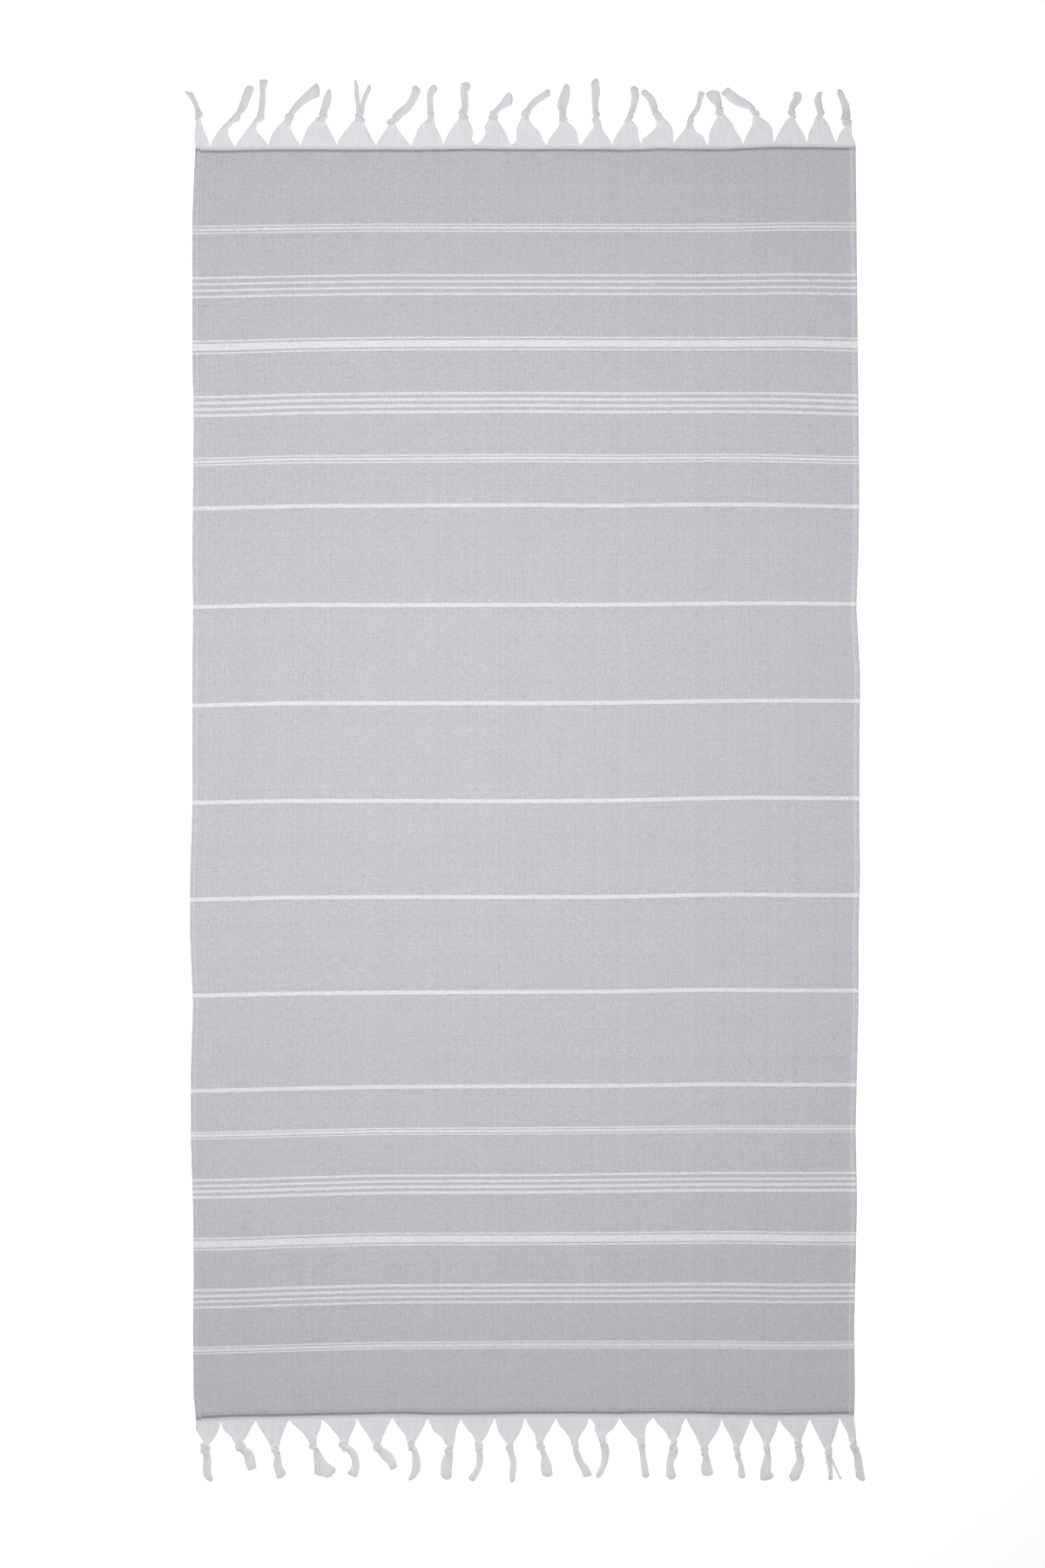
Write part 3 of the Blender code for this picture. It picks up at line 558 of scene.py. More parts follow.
def chambray():
    """White warp and grey weft, with the white weft stripes and the grey rib of each end."""
    recipe = Recipe("grey_chambray_weave", roughness=0.9, sheen=0.08)
    across, down, over, height = woven(recipe)
    pick_number = recipe.yarn_number(down, WEFT_PITCH)
    pick_down = recipe.times(recipe.math("ADD", pick_number, 0.5), WEFT_PITCH)
    warp_number = recipe.math("ADD", recipe.yarn_number(across, WARP_PITCH), 0.5)
    from_bottom = recipe.math("SUBTRACT", CLOTH_LENGTH, down)
    from_end = recipe.math("MINIMUM", down, from_bottom)
    from_right = recipe.math("SUBTRACT", CLOTH_WIDTH, across)
    from_side = recipe.math("MINIMUM", across, from_right)

    faint = recipe.math("COMPARE", from_bottom, RIB_WIDTH + FAINT_LINE, FAINT_HALF)
    weft = recipe.blend(faint, GREY_WEFT, DARK_PICK)
    weft = recipe.scaled(weft, recipe.yarn_shade(pick_number, *PICK_SHADES))
    warp = recipe.scaled(WHITE_WARP, recipe.yarn_shade(warp_number, *WARP_SHADES))
    for kinds, white in ((("single", "three", "four"), WHITE_LINE), (("broad",), WHITE_BAND)):
        lines = white_line_share(recipe, pick_down, kinds)
        weft = recipe.blend(lines, weft, white)
        warp = recipe.blend(lines, warp, white)
    weave = recipe.blend(recipe.ramp(over, -CROSSING, CROSSING), weft, warp)
    # The rib's grey is its own weft-faced picks; its soft fade into the cloth is partly painted shade
    rib = recipe.times(recipe.ramp(from_end, RIB_START, RIB_END, 1.0, 0.0),
                       recipe.ramp(from_side, HEM_WIDTH - 2.0, HEM_WIDTH, HEM_RIB, 1.0))
    weave = recipe.blend(rib, weave, RIB_GREY)

    # Closer picks are darker, a painted shadow falls beside each hem's fold, and painted light makes the
    # hems lighter, the right one more; the yarns have thick and thin places a few millimetres long both
    # ways
    close = RIB_WIDTH + CLOSE_PICKS
    # painted shadow beside each hem's fold
    hem_shadow = recipe.math("COMPARE", from_side, HEM_WIDTH + HEM_SHADOW_GAP, HEM_SHADOW_HALF)
    shades = [recipe.ramp(from_bottom, close - 0.5, close + 0.5, CLOSE_SHADE, 1.0),
              recipe.ramp(hem_shadow, 0.0, 1.0, 1.0, HEM_SHADOW_SHADE)]
    # painted light on each hem, stronger on the right
    for inset, hem_light in ((across, LEFT_HEM_LIT), (from_right, RIGHT_HEM_LIT)):
        shades.append(recipe.ramp(inset, HEM_WIDTH, HEM_WIDTH + 0.8, hem_light, 1.0))
    shades += [recipe.grain((across, down), rates, amount) for rates, amount in GRAIN]
    return recipe.finish(recipe.scaled(weave, *shades), height, *WEAVE_BUMP)


def white_weave():
    """The heading's plain white weave, greyer towards the rib."""
    recipe = Recipe("white_heading_weave", roughness=0.9, sheen=0.08)
    across, down, _, height = woven(recipe)
    shade = recipe.yarn_shade(recipe.yarn_number(across, WARP_PITCH), *HEADING_SHADES)
    grain = recipe.grain((across, down), *HEADING_GRAIN)
    hollow = recipe.ramp(height, 0.0, 0.5, HEADING_HOLLOW, 1.0)
    from_side = recipe.math("MINIMUM", across, recipe.math("SUBTRACT", CLOTH_WIDTH, across))
    inner = recipe.blend(recipe.ramp(from_side, HEM_WIDTH - 1.0, HEM_WIDTH), HEADING_HEM, HEADING_INNER)
    colour = recipe.blend(recipe.ramp(down, 0.0, HEADING_WIDTH), inner, HEADING_OUTER)
    return recipe.finish(recipe.scaled(colour, shade, grain, hollow), height, *WEAVE_BUMP)


def soft_yarn(name, white, tip_painted_shade, ply_hollow_shade):
    """Soft two-ply cotton: uv x runs along a yarn from its root and y round it."""
    recipe = Recipe(name, roughness=0.88, sheen=0.15)
    spot, place = recipe.uv(), recipe.place()
    wave = recipe.plies(spot, YARN_TURNS, recipe.times(recipe.noise(place, YARN_RATES), PLY_STRAY))
    shade = recipe.ramp(recipe.noise(place, LOCK_RATES), 0.3, 0.7, *LOCK_SHADES, smooth=False)
    # painted shade: darker between the plies
    hollow = recipe.ramp(wave, -1.0, 1.0, 1 - ply_hollow_shade, 1.0)
    # painted shade: each yarn darkens towards its cut tip
    tip = recipe.ramp(spot["X"], TIP_START, 1.0, 1.0, tip_painted_shade)
    return recipe.finish(recipe.scaled(white, shade, hollow, tip), wave, *YARN_BUMP)


def sewing_thread():
    """Tightly twisted white thread."""
    recipe = Recipe("white_sewing_thread", roughness=0.7, sheen=0.05)
    wave = recipe.plies(recipe.uv(), THREAD_TURNS)
    # painted shade in the hollows between its plies
    colour = recipe.blend(recipe.ramp(wave, -1.0, 1.0), THREAD_HOLLOW_SHADE, THREAD_WHITE)
    return recipe.finish(colour, wave, *THREAD_BUMP)


# ---- sheets ----

def in_scene(name, data):
    """A new object in the scene."""
    thing = bpy.data.objects.new(name, data)
    bpy.context.collection.objects.link(thing)
    return thing


def finished_piece(name, bm, finish):
    """Turn a bmesh into a smooth-shaded object at the origin with its faces outward."""
    bmesh.ops.recalc_face_normals(bm, faces=bm.faces)
    mesh = bpy.data.meshes.new(name)
    bm.to_mesh(mesh)
    bm.free()
    mesh.polygons.foreach_set("use_smooth", [True] * len(mesh.polygons))
    mesh.set_sharp_from_angle(angle=math.radians(60))
    mesh.materials.append(finish)
    return in_scene(name, mesh)


def closed_sheet(name, rows, face_across, back_across, finish):
    """A sheet: a grid for its face, a copy for its back, and a rim that joins them. Each row is its
    distance down the uv map, and its points' x, y, height of the face and height of the back."""
    columns = len(face_across)
    bm = bmesh.new()
    bmesh.ops.create_grid(bm, x_segments=columns - 1, y_segments=len(rows) - 1, size=1.0)
    face_points = list(bm.verts)
    back_of = bmesh.ops.duplicate(bm, geom=bm.faces[:])["vert_map"]
    map_of = {}
    for row, (down, x, y, face, back) in enumerate(rows):
        face_row = face_points[row * columns:(row + 1) * columns]
        back_row = [back_of[point] for point in face_row]
        for points, height, across in ((face_row, face, face_across), (back_row, back, back_across)):
            for point, spot, map_x in zip(points, in_metres(as_points(x, y, height)), across):
                point.co = spot
                map_of[point] = (map_x * MM, down * MM)
    bmesh.ops.bridge_loops(bm, edges=[edge for edge in bm.edges if edge.is_boundary])
    layer = bm.loops.layers.uv.new("UVMap")
    for face in bm.faces:
        for loop in face.loops:
            loop[layer].uv = map_of[loop.vert]
    return finished_piece(name, bm, finish)


# From the cloth's edge inwards: inset, height of the face, height of the back
HEM_PROFILE = numpy.array((
    (0.0, 1.05, 0.55), (0.25, 1.6, 0.2), (0.7, 2.05, 0.03), (1.4, 2.28, 0.0), (2.6, 2.35, 0.0),
    (4.2, 2.3, 0.0), (5.4, 2.15, 0.0), (6.0, 1.9, 0.1), (6.4, 1.72, 0.3), (6.8, 1.85, 0.1),
    (7.2, 1.7, 0.0), (7.6, 1.25, 0.0), (8.6, CLOTH_THICK, 0.0), (11.0, CLOTH_THICK, 0.0),
))
HEM_INSET, HEM_FACE, HEM_BACK = HEM_PROFILE.T
FOLD_POINTS = 4          # the profile's first points, up to this one, are the round of the fold
FACE_START, BACK_START = -0.6, -1.1      # where the weave starts there across the uv map
FIELD_COLUMNS = 72
FIELD_ROW_STEP = 5.2
RIB_ROW_STEP = 0.4
RIB_GAP = 1.2            # from a rib's last row to the field's first
RIB_THICK = 1.35
RIB_RIDGE = 0.12         # the height of its ridges
RIB_EDGE = 0.3           # the cloth is this much thinner at its very end
UNEVEN = 0.35            # how far the cloth lifts off the surface where it isn't quite flat
PUCKER = 0.16            # the slight waves that the sewing draws into each hem
PUCKER_REACH = 16.0      # how far in from the edge they run
HEADING_COLUMN_STEP = 5.0
HEADING_PICKS = 6
HEADING_THICK = 1.15
HEADING_RIDGE = 0.25     # the height of its picks' ridges
HEADING_BACK = 0.1       # the height of its back


def cloth_rows():
    """Distances down at which the cloth has a row of points, close together across each rib."""
    rib = list(numpy.arange(0.0, RIB_WIDTH + 0.5, RIB_ROW_STEP))
    start = rib[-1] + RIB_GAP
    count = round((CLOTH_LENGTH - 2 * start) / FIELD_ROW_STEP) + 1
    field = list(numpy.linspace(start, CLOTH_LENGTH - start, count))
    return rib + field + [CLOTH_LENGTH - down for down in reversed(rib)]


def side_to_side(left, right, hem):
    """Places from side to side: each hem's, which are insets, and evenly spaced ones between."""
    inner = HEM_INSET[-1]
    field = (right - left - 2 * inner) * numpy.linspace(0.0, 1.0, FIELD_COLUMNS + 2)[1:-1]
    return numpy.concatenate((left + hem, left + inner + field, right - hem[::-1]))


def across_map(heights, start):
    """Where a row's points are across the uv map, evenly spaced round the folds of the hems."""
    along = added_up(numpy.hypot(numpy.diff(HEM_INSET), numpy.diff(heights)))
    fold_end = HEM_INSET[FOLD_POINTS]
    fold = start + (fold_end - start) * along / along[FOLD_POINTS]
    return side_to_side(0.0, CLOTH_WIDTH, numpy.where(HEM_INSET < fold_end, fold, HEM_INSET))


def unevenness(x, down):
    """A soft unevenness of the laid cloth, from 0 up: long waves and short ones both ways."""
    long_waves = numpy.sin(x / 61 + 1.3 * math.sin(down / 190)) * math.sin(down / 83 + 0.6)
    short_waves = numpy.sin(x / 23 + down / 41) * numpy.sin(down / 29 - x / 37)
    return UNEVEN * (0.55 + 0.33 * long_waves + 0.12 * short_waves)


def hem_pucker(inset, down):
    """The height of the sewing's waves at an inset from the cloth's edge."""
    near = numpy.exp(-(inset / PUCKER_REACH) ** 2)
    return PUCKER * near * (1 + math.sin(down / 4.4 + 1.5 * math.sin(down / 37)))


def cloth_row(down):
    """One row of the cloth: its distance down, x, y, and the heights of its face and back."""
    left, right = cloth_edges(down)
    x = side_to_side(left, right, HEM_INSET)
    face, back = (numpy.concatenate((hem, numpy.full(FIELD_COLUMNS, hem[-1]), hem[::-1]))
                  for hem in (HEM_FACE, HEM_BACK))
    from_end = min(down, CLOTH_LENGTH - down)
    if from_end < RIB_WIDTH:
        ridge = RIB_THICK + RIB_RIDGE * math.cos(math.pi * from_end / RIB_ROW_STEP)
        face = numpy.maximum(face, ridge if from_end > 0 else RIB_THICK - RIB_EDGE)
    lift = unevenness(x, down) + hem_pucker(numpy.minimum(x - left, right - x), down)
    return down, x, on_cloth(x, down), face + lift, back + lift


def make_cloth(finish):
    """The cloth, with a rolled hem down each side and a rib across each end."""
    rows = [cloth_row(down) for down in cloth_rows()]
    face_across, back_across = across_map(HEM_FACE, FACE_START), across_map(HEM_BACK, BACK_START)
    return closed_sheet("chambray_cloth", rows, face_across, back_across, finish)


def make_heading(name, end, left, right, finish):
    """The white picks outside the rib: a ridged strip that holds the warp."""
    x = numpy.linspace(left, right, round((right - left) / HEADING_COLUMN_STEP) + 1)
    rows = []
    for out in numpy.linspace(0.0, HEADING_WIDTH, 4 * HEADING_PICKS + 1):
        ridge = 0.5 - 0.5 * math.cos(2 * math.pi * HEADING_PICKS * out / HEADING_WIDTH)
        height = HEADING_THICK - HEADING_RIDGE + HEADING_RIDGE * ridge
        y = end_y(end, out - HEADING_WIDTH + end_reach(end, x))
        rows.append((out, x, y, height, HEADING_BACK))
    return closed_sheet(name, rows, x - left, x - left, finish)


# ---- yarns ----

STITCH_INSET = 6.4       # the sewing line, from the cloth's edge
STITCH_LENGTH = 3.0
STITCH_START = 1.0       # the first stitch, from the cloth's end
STITCH_STRAY = 0.25      # how far the sewing strays from its line
THREAD_RADIUS = 0.4
# A stitch over the face and one along the back: how far along, and how high above the cloth
STITCH_OVER = ((0.0, -0.5), (0.35, 0.25), (1.5, 0.34), (2.65, 0.25))
STITCH_UNDER = ((0.0, 0.6), (0.9, 0.45), (2.1, 0.45))


def yarn_piece(name, bundles, finish):
    """One object of closed tubes. Each bundle is a list of lines and the radii along them."""
    data = bpy.data.curves.new(name + "_lines", "CURVE")
    data.dimensions = "3D"
    data.bevel_depth = MM
    data.bevel_resolution = 0
    data.use_fill_caps = True
    for lines, radii in bundles:
        for line in lines:
            spline = data.splines.new("POLY")
            spline.points.add(len(line) - 1)
            places = numpy.ones((len(line), 4))
            places[:, :3] = in_metres(line)
            spline.points.foreach_set("co", places.ravel())
            spline.points.foreach_set("radius", numpy.broadcast_to(radii, len(line)).copy())
    curves = in_scene(name + "_lines", data)
    mesh = bpy.data.meshes.new_from_object(curves.evaluated_get(bpy.context.evaluated_depsgraph_get()))
    bm = bmesh.new()
    bm.from_mesh(mesh)
    bpy.data.objects.remove(curves)
    bpy.data.meshes.remove(mesh)
    bmesh.ops.remove_doubles(bm, verts=bm.verts, dist=1e-7)
    return finished_piece(name, bm, finish)


def hem_stitches():
    """The sewing thread of both hems: a line over the face and one along the back."""
    face_height = float(numpy.interp(STITCH_INSET, HEM_INSET, HEM_FACE))
    lines = []
    for side in (-1, 1):
        for stitch, height in ((STITCH_OVER, face_height), (STITCH_UNDER, 0.0)):
            line = []
            for number in range(int(CLOTH_LENGTH / STITCH_LENGTH)):
                for along, lift in stitch:
                    down = number * STITCH_LENGTH + along + STITCH_START
                    left, right = cloth_edges(down)
                    x = left + STITCH_INSET if side < 0 else right - STITCH_INSET
                    x += STITCH_STRAY * math.sin(down / 23.0 + side)
                    rise = float(unevenness(x, down)) + float(hem_pucker(STITCH_INSET, down))
                    line.append((x, float(on_cloth(x, down)), height + rise + lift))
            lines.append(line)
    return [(lines, THREAD_RADIUS)]


# ---- knots ----

# The line that is pulled into a knot, in bundle widths
KNOT_POINTS = 100
KNOT_REACH = 9.0         # the line's ends while it is pulled, from its middle
KNOT_ENDS = 1.1          # what is kept of it, from its middle
PULL_ROUNDS = 1500
STRAIGHTEN_ROUNDS = 400
HOLD_ROUNDS = 4
SHORTEN = 0.9994         # what a round of pulling leaves of the line's length
TIGHT = 1.06             # the line is tight when it stretches this much
NEIGHBOURS = 1.35        # points nearer than this along the line can't press each other apart
PUSH = 0.3               # how much of an overlap a round takes away
SMOOTHING = 0.12         # how much of a bend it takes away


def loose_knot():
    """An open overhand knot, in bundle widths, with its ends far out along y."""
    t = numpy.linspace(-2.25, 2.25, 400)
    line = as_points(t ** 3 - 3 * t, 0.45 * (t ** 5 - 10 * t), t ** 4 - 4 * t ** 2)
    return evenly_spaced(0.75 * line, KNOT_POINTS)


def hold_lengths(line, gap):
    """Move neighbouring points along the line until they are a gap apart."""
    for first in (0, 1):
        near, far = line[first:-1:2], line[first + 1::2]
        apart = far - near
        length = numpy.linalg.norm(apart, axis=1, keepdims=True)
        move = apart * (0.5 - 0.5 * gap / numpy.maximum(length, 1e-9))
        near += move
        far -= move


def push_apart(line, gap):
    """Move passes of the bundle that press into each other apart, to a bundle's width."""
    order = numpy.arange(len(line))
    beyond = max(2, math.ceil(NEIGHBOURS / gap))
    apart = line[:, None] - line[None]
    distance = numpy.linalg.norm(apart, axis=2)
    pressed = (numpy.abs(order[:, None] - order[None]) >= beyond) & (distance < 1.0)
    push = numpy.where(pressed, PUSH * (1.0 - distance) / numpy.maximum(distance, 1e-6), 0.0)
    line += (push[:, :, None] * apart).sum(axis=1)


def tight_knot():
    """The middle line of an overhand knot pulled tight, in bundle widths, with its ends along y."""
    line = loose_knot()
    gap = float(step_lengths(line).mean())
    start_ends = line[[0, -1]].copy()
    straight_ends = numpy.array(((0.0, -KNOT_REACH, 0.0), (0.0, KNOT_REACH, 0.0)))
    for turn in range(PULL_ROUNDS):
        share = min(1.0, turn / STRAIGHTEN_ROUNDS)
        ends = start_ends + (straight_ends - start_ends) * share
        if share == 1.0:
            gap *= SHORTEN
        for _ in range(HOLD_ROUNDS):
            line[0], line[-1] = ends
            hold_lengths(line, gap)
        push_apart(line, gap)
        line[1:-1] += SMOOTHING * ((line[:-2] + line[2:]) / 2 - line[1:-1])
        line[0], line[-1] = ends
        if share == 1.0 and step_lengths(line).mean() > TIGHT * gap:
            break
    return line[numpy.abs(line[:, 1]) < KNOT_ENDS]


def ring_along(line, radius, count, twist):
    """Lines of a bundle's outer yarns, which keep their places round its middle line."""
    ahead = unit(numpy.gradient(line, axis=0))
    side = numpy.cross(ahead[0], (0.0, 0.0, 1.0))
    sides = []
    for direction in ahead:
        side = unit(side - direction * (side @ direction))
        sides.append(side)
    sides = numpy.array(sides)
    ups = numpy.cross(ahead, sides)
    rings = []
    turning = numpy.linspace(0.0, twist, len(line))
    for yarn in range(count):
        angle = (2 * math.pi * yarn / count + turning)[:, None]
        rings.append(line + radius * (numpy.cos(angle) * sides + numpy.sin(angle) * ups))
    return numpy.array(rings)


# ---- tassels ----

FULL_TOP = 0.4           # below 1 it heaps a bundle's yarns towards its top
YARN_PITCH = 0.64        # along the heading
YARN_RADIUS = 0.34
YARN_COVER = 0.78        # a yarn loosens to this share of its pitch, so that a fan stays closed
FAN_ROWS = 9
CLOSED_REACH = 1.4       # neighbouring fans part this far out from the heading
FAN_TUCK = 2.0           # the yarns start this far under the heading
FAN_ROOT = 0.4           # the height at which they do
FAN_WANDER = 0.16        # how far a yarn strays sideways
FAN_LIFT = 0.05          # its lowest yarns lie this far above the surface
FAN_RISE = 1.4           # how far the fan rises to the knot
FAN_PACKED = 0.42        # half of it inside the knot, as a share of its neck's width
PLEAT_COUNTS = (2.0, 4.0)  # the fan's soft pleats, of which a tassel has about so many
PLEAT_DRIFT = 0.25       # how far they shift its yarns sideways
PLEAT_HEIGHT = 0.12
KNOT_YARN_RADIUS = 0.42
KNOT_YARNS = 20          # those on the bundle's outside
KNOT_TWIST = 0.8         # the most that they turn round the bundle, in radians
KNOT_BUNDLE = 5.6        # width of the bundle that the knot is tied in
KNOT_THICK = 6.9
KNOT_ROUNDING = 1.5      # rounding its bends makes a knot this much narrower
KNOT_BACK = 1.6          # the knot's middle is this much nearer the fan
KNOT_PULLED = 0.95       # what pulling leaves of its length
KNOT_DRAWN_IN = 5.0      # its ends are drawn in to its middle line over this length
KNOT_TAPER = (0.55, 0.9)  # the bundle dives into the fan and the tail over its last points
KNOT_LINE_STEP = 1.4     # along the knot between a yarn's points
KNOT_INSIDE = 2.5        # the fan and the tail end this far from the knot's middle
KNOT_FILL = 0.4          # the most that half of them fills there, as a share of the knot's width
PACKED_HALF = 2.0        # half the height of their yarns in there
STRAND_ROWS = 10
STRAND_YARN_RADIUS = 0.42
STRAND_COVER = 0.9       # a yarn's radius, as a share of the pitch at its strand's widest
STRAND_PACKED = 0.45     # half of it inside the knot, as a share of its first width
STRAND_WANDER = 0.22     # how far a yarn strays sideways
STRAND_PACES = (0.4, 1.1)  # how often it does
STRAND_THICKS = (5.6, 4.0, 2.6, 1.8)     # at STRAND_THINS, from the knot to the tip
STRAND_THINS = (0.0, 0.15, 0.4, 1.0)
STRAND_ROUND = 0.85      # how far its section thins towards its sides
SHOULDER = 0.4           # its upper yarns bulge this much where they leave the knot
TIP_ROUNDING = 0.8       # how much further back a strand's outermost yarns end
TIP_UNEVEN = 1.1         # how unevenly its yarns are cut


def smooth_path(places, shares):
    """Points on a smooth line through places, at shares of the way from the first to the last."""
    places = numpy.asarray(places, float)
    before = 2 * places[:1] - places[1:2]
    beyond = 2 * places[-1:] - places[-2:-1]
    padded = numpy.concatenate((before, places, beyond))
    steps = numpy.clip(shares, 0.0, 1.0) * (len(places) - 1)
    first = numpy.minimum(steps.astype(int), len(places) - 2)
    t = (steps - first)[:, None]
    a, b, c, d = (padded[first + place] for place in range(4))
    return b + 0.5 * t * (c - a + t * (2 * a - 5 * b + 4 * c - d + t * (3 * (b - c) + d - a)))


def across_of(direction):
    """The way across a strand that runs along a direction."""
    return numpy.array((direction[1], -direction[0])) / math.hypot(*direction)


def dome(place):
    """Height of a bundle's section over its place across, from -1 to 1."""
    return numpy.sqrt(numpy.maximum(0.0, 1.0 - place ** 2))


def layers(count, start=0.0):
    """How high each yarn of a bundle lies in it, from 0 to 1."""
    return ((numpy.arange(count) * GOLDEN + start) % 1.0) ** FULL_TOP


def side_points(side, end):
    """x and out of a fan's side at its root, at each quarter and at the knot."""
    root, reach, *quarters = side
    points = [(root, float(end_reach(end, root)) + CLOSED_REACH)]
    for quarter, x in enumerate(quarters, 1):
        points.append((x, reach * quarter / len(quarters)))
    return points


def placed_knot(form, knot, aim, dice):
    """The knot's middle line, turned and squeezed into one tassel's knot."""
    turn = dice.uniform(0.0, 2 * math.pi)
    c, s = math.cos(turn), math.sin(turn)
    hand = dice.choice((-1.0, 1.0))
    wide = hand * (form[:, 0] * c + form[:, 2] * s)
    turned = as_points(wide, form[:, 1], form[:, 2] * c - form[:, 0] * s)
    low, high = turned.min(axis=0), turned.max(axis=0)
    turned -= ((low[0] + high[0]) / 2, 0.0, (low[2] + high[2]) / 2)
    turned *= ((knot[2] + KNOT_ROUNDING - KNOT_BUNDLE) / (high[0] - low[0]), KNOT_BUNDLE * KNOT_PULLED,
               (KNOT_THICK - KNOT_BUNDLE) / (high[2] - low[2]))
    along = added_up(step_lengths(turned))
    drawn_in = numpy.minimum(1.0, numpy.minimum(along, along[-1] - along) / KNOT_DRAWN_IN)
    turned[:, (0, 2)] *= drawn_in[:, None]
    turned[:, 1] -= KNOT_BACK
    across = across_of(aim)
    x = knot[0] + turned[:, 0] * across[0] + turned[:, 1] * aim[0]
    out = knot[1] + turned[:, 0] * across[1] + turned[:, 1] * aim[1]
    line = as_points(x, out, turned[:, 2] + KNOT_THICK / 2)
    return evenly_spaced(line, round(float(step_lengths(line).sum()) / KNOT_LINE_STEP))


def in_knot(knot, way, place, layer, half_width):
    """Yarns side by side inside the knot, a little way from its middle."""
    across = across_of(way)
    half_width = min(half_width, KNOT_FILL * knot[2])
    middle = numpy.array(knot[:2]) + way * KNOT_INSIDE
    x = middle[0] + across[0] * place * half_width
    out = middle[1] + across[1] * place * half_width
    return as_points(x, out, KNOT_THICK / 2 + (2 * layer - 1) * PACKED_HALF * dome(place))


def fan_yarns(left, right, knot, aim, count, dice):
    """The fan: one layer of warp at the heading, piled up where it narrows to the knot."""
    place = numpy.linspace(0.0, 1.0, count)
    heap = dome(2 * place - 1)
    layer = layers(count)
    wander = dice.uniform(-FAN_WANDER, FAN_WANDER, (2, count))
    pleats = dice.uniform(0.0, 2 * math.pi)
    pleat = numpy.sin(2 * math.pi * dice.uniform(*PLEAT_COUNTS) * place + pleats)
    root_x = left[0][0] + (right[0][0] - left[0][0]) * place
    root_out = left[0][1] + (right[0][1] - left[0][1]) * place - CLOSED_REACH - FAN_TUCK
    lines = [as_points(root_x, root_out, FAN_ROOT)]
    radii = [YARN_RADIUS]
    shares = numpy.linspace(0.0, 1.0, FAN_ROWS)
    for share, start, stop in zip(shares, smooth_path(left, shares), smooth_path(right, shares)):
        span = stop - start
        width = math.hypot(*span)
        radius = max(YARN_RADIUS, YARN_COVER * width / count)
        swell = 4 * share * (1 - share)
        drift = (wander[0] * swell + wander[1] * share + PLEAT_DRIFT * pleat * swell) / width
        spread = numpy.clip(place + drift * numpy.minimum(1.0, 6 * place * (1 - place)), 0.0, 1.0)
        inset = radius / width
        spread = inset + spread * (1 - 2 * inset)
        pile = max(0.0, count * 2 * YARN_RADIUS / width - 1.0) * 2 * YARN_RADIUS
        height = radius + FAN_LIFT + pile * layer * heap + PLEAT_HEIGHT * (1 + pleat) * swell
        height += FAN_RISE * share ** 4 * heap
        lines.append(as_points(start[0] + span[0] * spread, start[1] + span[1] * spread, height))
        radii.append(radius)
    lines.append(in_knot(knot, -aim, 2 * place - 1, layer, FAN_PACKED * width))
    radii.append(YARN_RADIUS)
    return numpy.array(lines).transpose(1, 0, 2), radii


def strand_yarns(strand, knot, count, dice):
    """A strand of the tail: yarns side by side in a flat lock on the surface, with uneven ends."""
    (left_tip, middle_tip, right_tip), *places = strand
    places = numpy.array(places, float)
    length = float(step_lengths(places[:, :2]).sum())
    last_way = unit(places[-1, :2] - places[-2, :2])
    radius = max(STRAND_YARN_RADIUS, STRAND_COVER * places[:, 2].max() / count)
    place = numpy.linspace(-1.0, 1.0, count)
    layer = layers(count, 0.3)
    slant, hollow = (right_tip - left_tip) / 2, (left_tip + right_tip) / 2 - middle_tip
    tips = middle_tip + slant * place + hollow * place ** 2
    reaches = 1 + (tips - TIP_ROUNDING * place ** 4 - dice.uniform(0.0, TIP_UNEVEN, count)) / length
    phase = dice.uniform(0.0, 2 * math.pi, count)
    pace = dice.uniform(*STRAND_PACES, count)
    first_way = unit(places[0, :2] - knot[:2])
    lines = [in_knot(knot, first_way, place, layer, STRAND_PACKED * places[0, 2])]
    for step in numpy.linspace(0.0, 1.0, STRAND_ROWS):
        shares = step * reaches
        spots = smooth_path(places, shares)
        ahead = smooth_path(places, shares + 0.02)[:, :2] - smooth_path(places, shares - 0.02)[:, :2]
        ahead = unit(numpy.where((shares > 1.0)[:, None], last_way, ahead))
        beyond = numpy.maximum(0.0, shares - 1.0)[:, None] * length * last_way
        half = spots[:, 2] / 2 - radius
        wander = STRAND_WANDER * numpy.sin(2 * math.pi * pace * shares + phase) * min(1.0, 4 * step)
        sideways = numpy.clip(place + wander / half, -1.0, 1.0)
        offset = sideways * half
        x = spots[:, 0] + beyond[:, 0] + ahead[:, 1] * offset
        out = spots[:, 1] + beyond[:, 1] - ahead[:, 0] * offset
        thick = numpy.interp(shares, STRAND_THINS, STRAND_THICKS) - 2 * radius
        height = radius + thick * layer * numpy.sqrt(1 - STRAND_ROUND * sideways ** 2)
        lines.append(as_points(x, out, height))
    shoulder = (lines[0] + lines[1]) / 2
    shoulder[:, 2] += SHOULDER * layer
    lines.insert(1, shoulder)
    return numpy.array(lines).transpose(1, 0, 2), radius


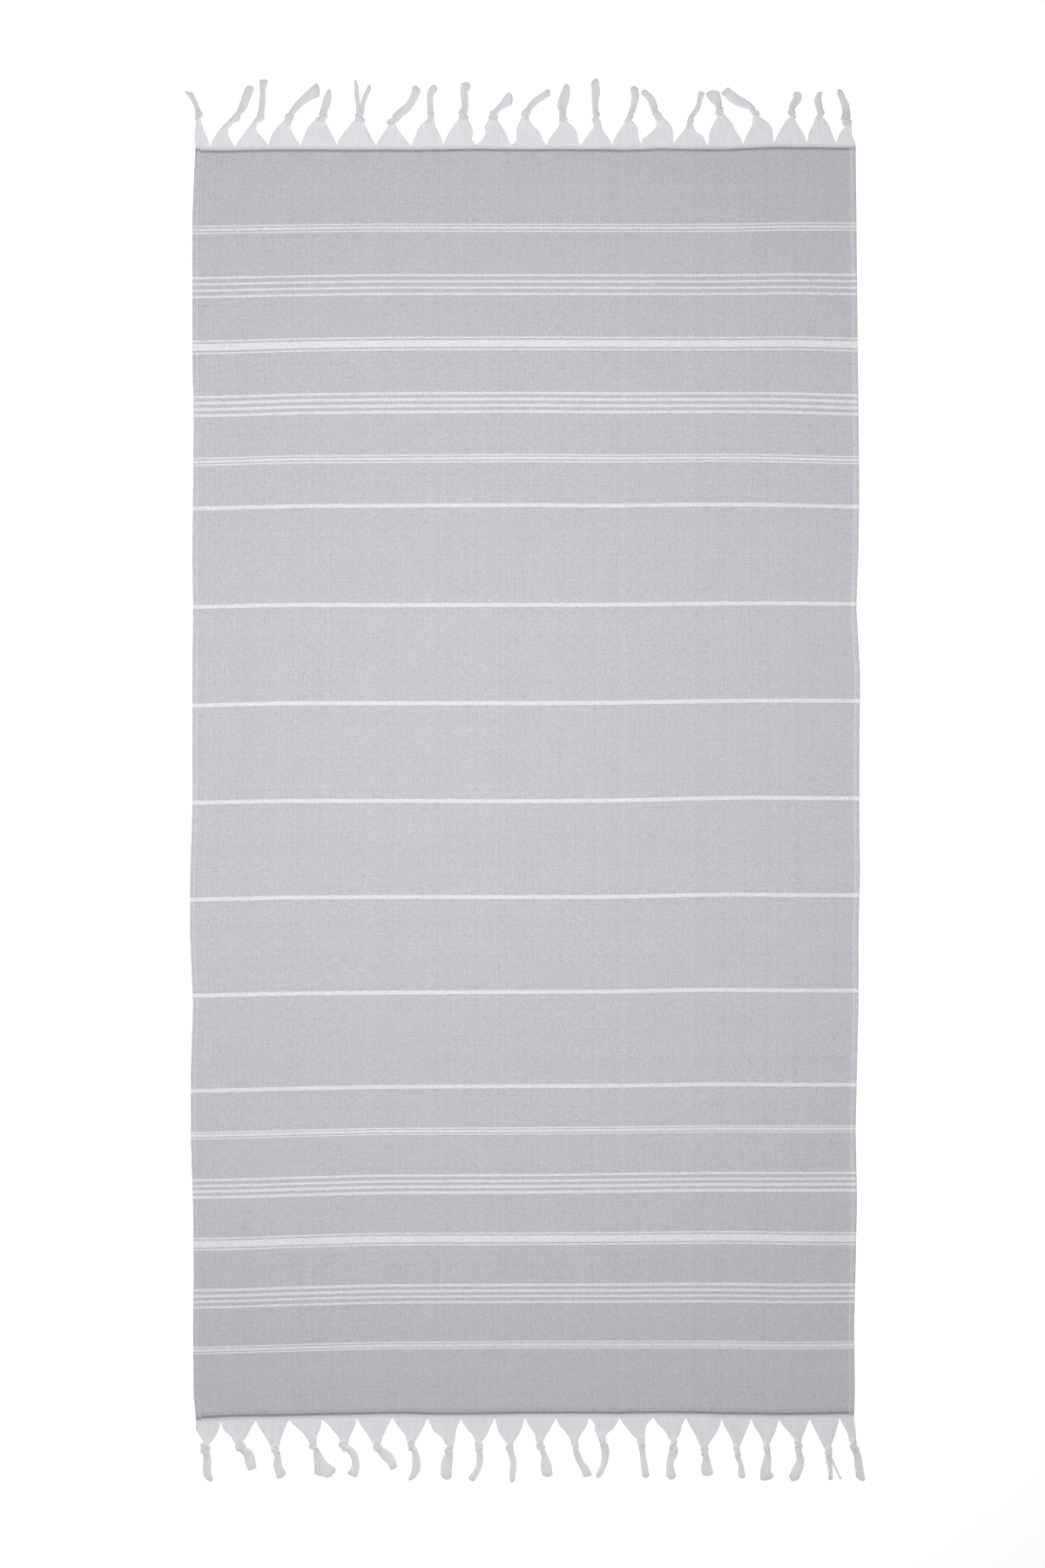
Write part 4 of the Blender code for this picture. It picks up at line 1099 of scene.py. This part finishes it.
def tassel_bundles(tassel, end, knot_form, dice):
    """One tassel's fan, knot and tail, each a list of bundles of lines with their radii."""
    left, right = side_points(tassel.left, end), side_points(tassel.right, end)
    count = round((right[0][0] - left[0][0]) / YARN_PITCH)
    neck = numpy.mean((left[-1], right[-1]), axis=0)
    aim = unit(numpy.array(tassel.strands[0][1][:2]) - neck)
    core = placed_knot(knot_form, tassel.knot, aim, dice)
    fan = fan_yarns(left, right, tassel.knot, aim, count, dice)
    widths = [strand[1][2] for strand in tassel.strands]
    tail = []
    for strand, width in zip(tassel.strands, widths):
        tail.append(strand_yarns(strand, tassel.knot, round(count * width / sum(widths)), dice))
    ring = numpy.full(len(core), KNOT_BUNDLE / 2 - KNOT_YARN_RADIUS)
    ring[:len(KNOT_TAPER)] *= KNOT_TAPER
    ring[-len(KNOT_TAPER):] *= KNOT_TAPER[::-1]
    yarns = ring_along(core, ring[:, None], KNOT_YARNS, dice.uniform(-KNOT_TWIST, KNOT_TWIST))
    return [fan], [(yarns, KNOT_YARN_RADIUS), ([core], ring)], tail


def at_end(lines, end):
    """Lines drawn with out as their second number, at their end of the towel."""
    placed = numpy.array(lines, float)
    placed[..., 1] = end_y(end, placed[..., 1])
    return placed


def make_fringe(end, name, table, knot_form, weave, yarns):
    """All the pieces of one end's fringe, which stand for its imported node."""
    tassels = [Tassel(*row[:3], row[3:]) for row in table]
    dice = numpy.random.default_rng(SEED + end)
    parts = ([], [], [])
    for tassel in tassels:
        for part, bundles in zip(parts, tassel_bundles(tassel, end, knot_form, dice)):
            part += [(at_end(lines, end), radii) for lines, radii in bundles]
    pieces = [make_heading("heading_" + name, end, tassels[0].left[0], tassels[-1].right[0], weave)]
    for kind, part, yarn in zip(("fans_", "knots_", "tails_"), parts, yarns):
        pieces.append(yarn_piece(kind + name, part, yarn))
    return pieces


# ---- studio ----

def make_floor():
    """A wide pale floor just under the towel, lit a little from itself as a light table is."""
    pale = Recipe("pale_floor", roughness=0.9, sheen=0.0)
    set_inputs(pale.shader, {"Base Color": FLOOR_COLOUR, "Specular IOR Level": 0.0,
                             "Emission Color": WHITE_GLOW, "Emission Strength": FLOOR_GLOW})
    bm = bmesh.new()
    bmesh.ops.create_grid(bm, x_segments=1, y_segments=1, size=FLOOR_SIZE)
    bmesh.ops.translate(bm, vec=(0.0, 0.0, -FLOOR_DROP), verts=bm.verts)
    floor = finished_piece("floor", bm, pale.material)
    return floor


def make_light():
    """A soft square light over the towel that the camera doesn't see."""
    data = bpy.data.lights.new("softbox", "AREA")
    data.size = LIGHT_SIZE
    data.energy = LIGHT_POWER
    light = in_scene("softbox", data)
    light.location = LIGHT_PLACE
    light.visible_camera = False


def make_world():
    """An even, nearly white room."""
    world = bpy.data.worlds.new("pale_room")
    world.use_nodes = True
    background = world.node_tree.nodes["Background"]
    set_inputs(background, {"Color": ROOM_COLOUR, "Strength": ROOM_LIGHT})
    bpy.context.scene.world = world


def make_camera():
    """Straight above the towel, square to it."""
    data = bpy.data.cameras.new("camera")
    data.lens = LENS
    data.sensor_width = SENSOR
    data.clip_end = 50.0
    camera = in_scene("camera", data)
    camera.location = (*VIEW_CENTRE, VIEW_HEIGHT * LENS / SENSOR)
    bpy.context.scene.camera = camera


# ---- towel ----

def main():
    cloth = make_cloth(chambray())
    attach(cloth, "root")
    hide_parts("towel_cloth")
    stitching = yarn_piece("hem_stitching", hem_stitches(), sewing_thread())
    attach(stitching, "root")
    knot_form = tight_knot()
    weave = white_weave()
    for end, name, table in ((TOP, "top", TOP_TASSELS), (BOTTOM, "bottom", BOTTOM_TASSELS)):
        yarns = []
        # each part and end gets its own white: painted light and shade
        for part, (*lit_whites, tip_painted_shade, ply_hollow_shade) in FRINGE_YARNS.items():
            yarns.append(soft_yarn(f"white_cotton_{part}_{name}", lit_whites[end], tip_painted_shade, ply_hollow_shade))
        for piece in make_fringe(end, name, table, knot_form, weave, yarns):
            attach(piece, "root")
            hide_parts("fringe_" + name)
    floor = make_floor()
    make_light()
    make_world()
    make_camera()
    bpy.context.scene.view_settings.view_transform = "Standard"


main()
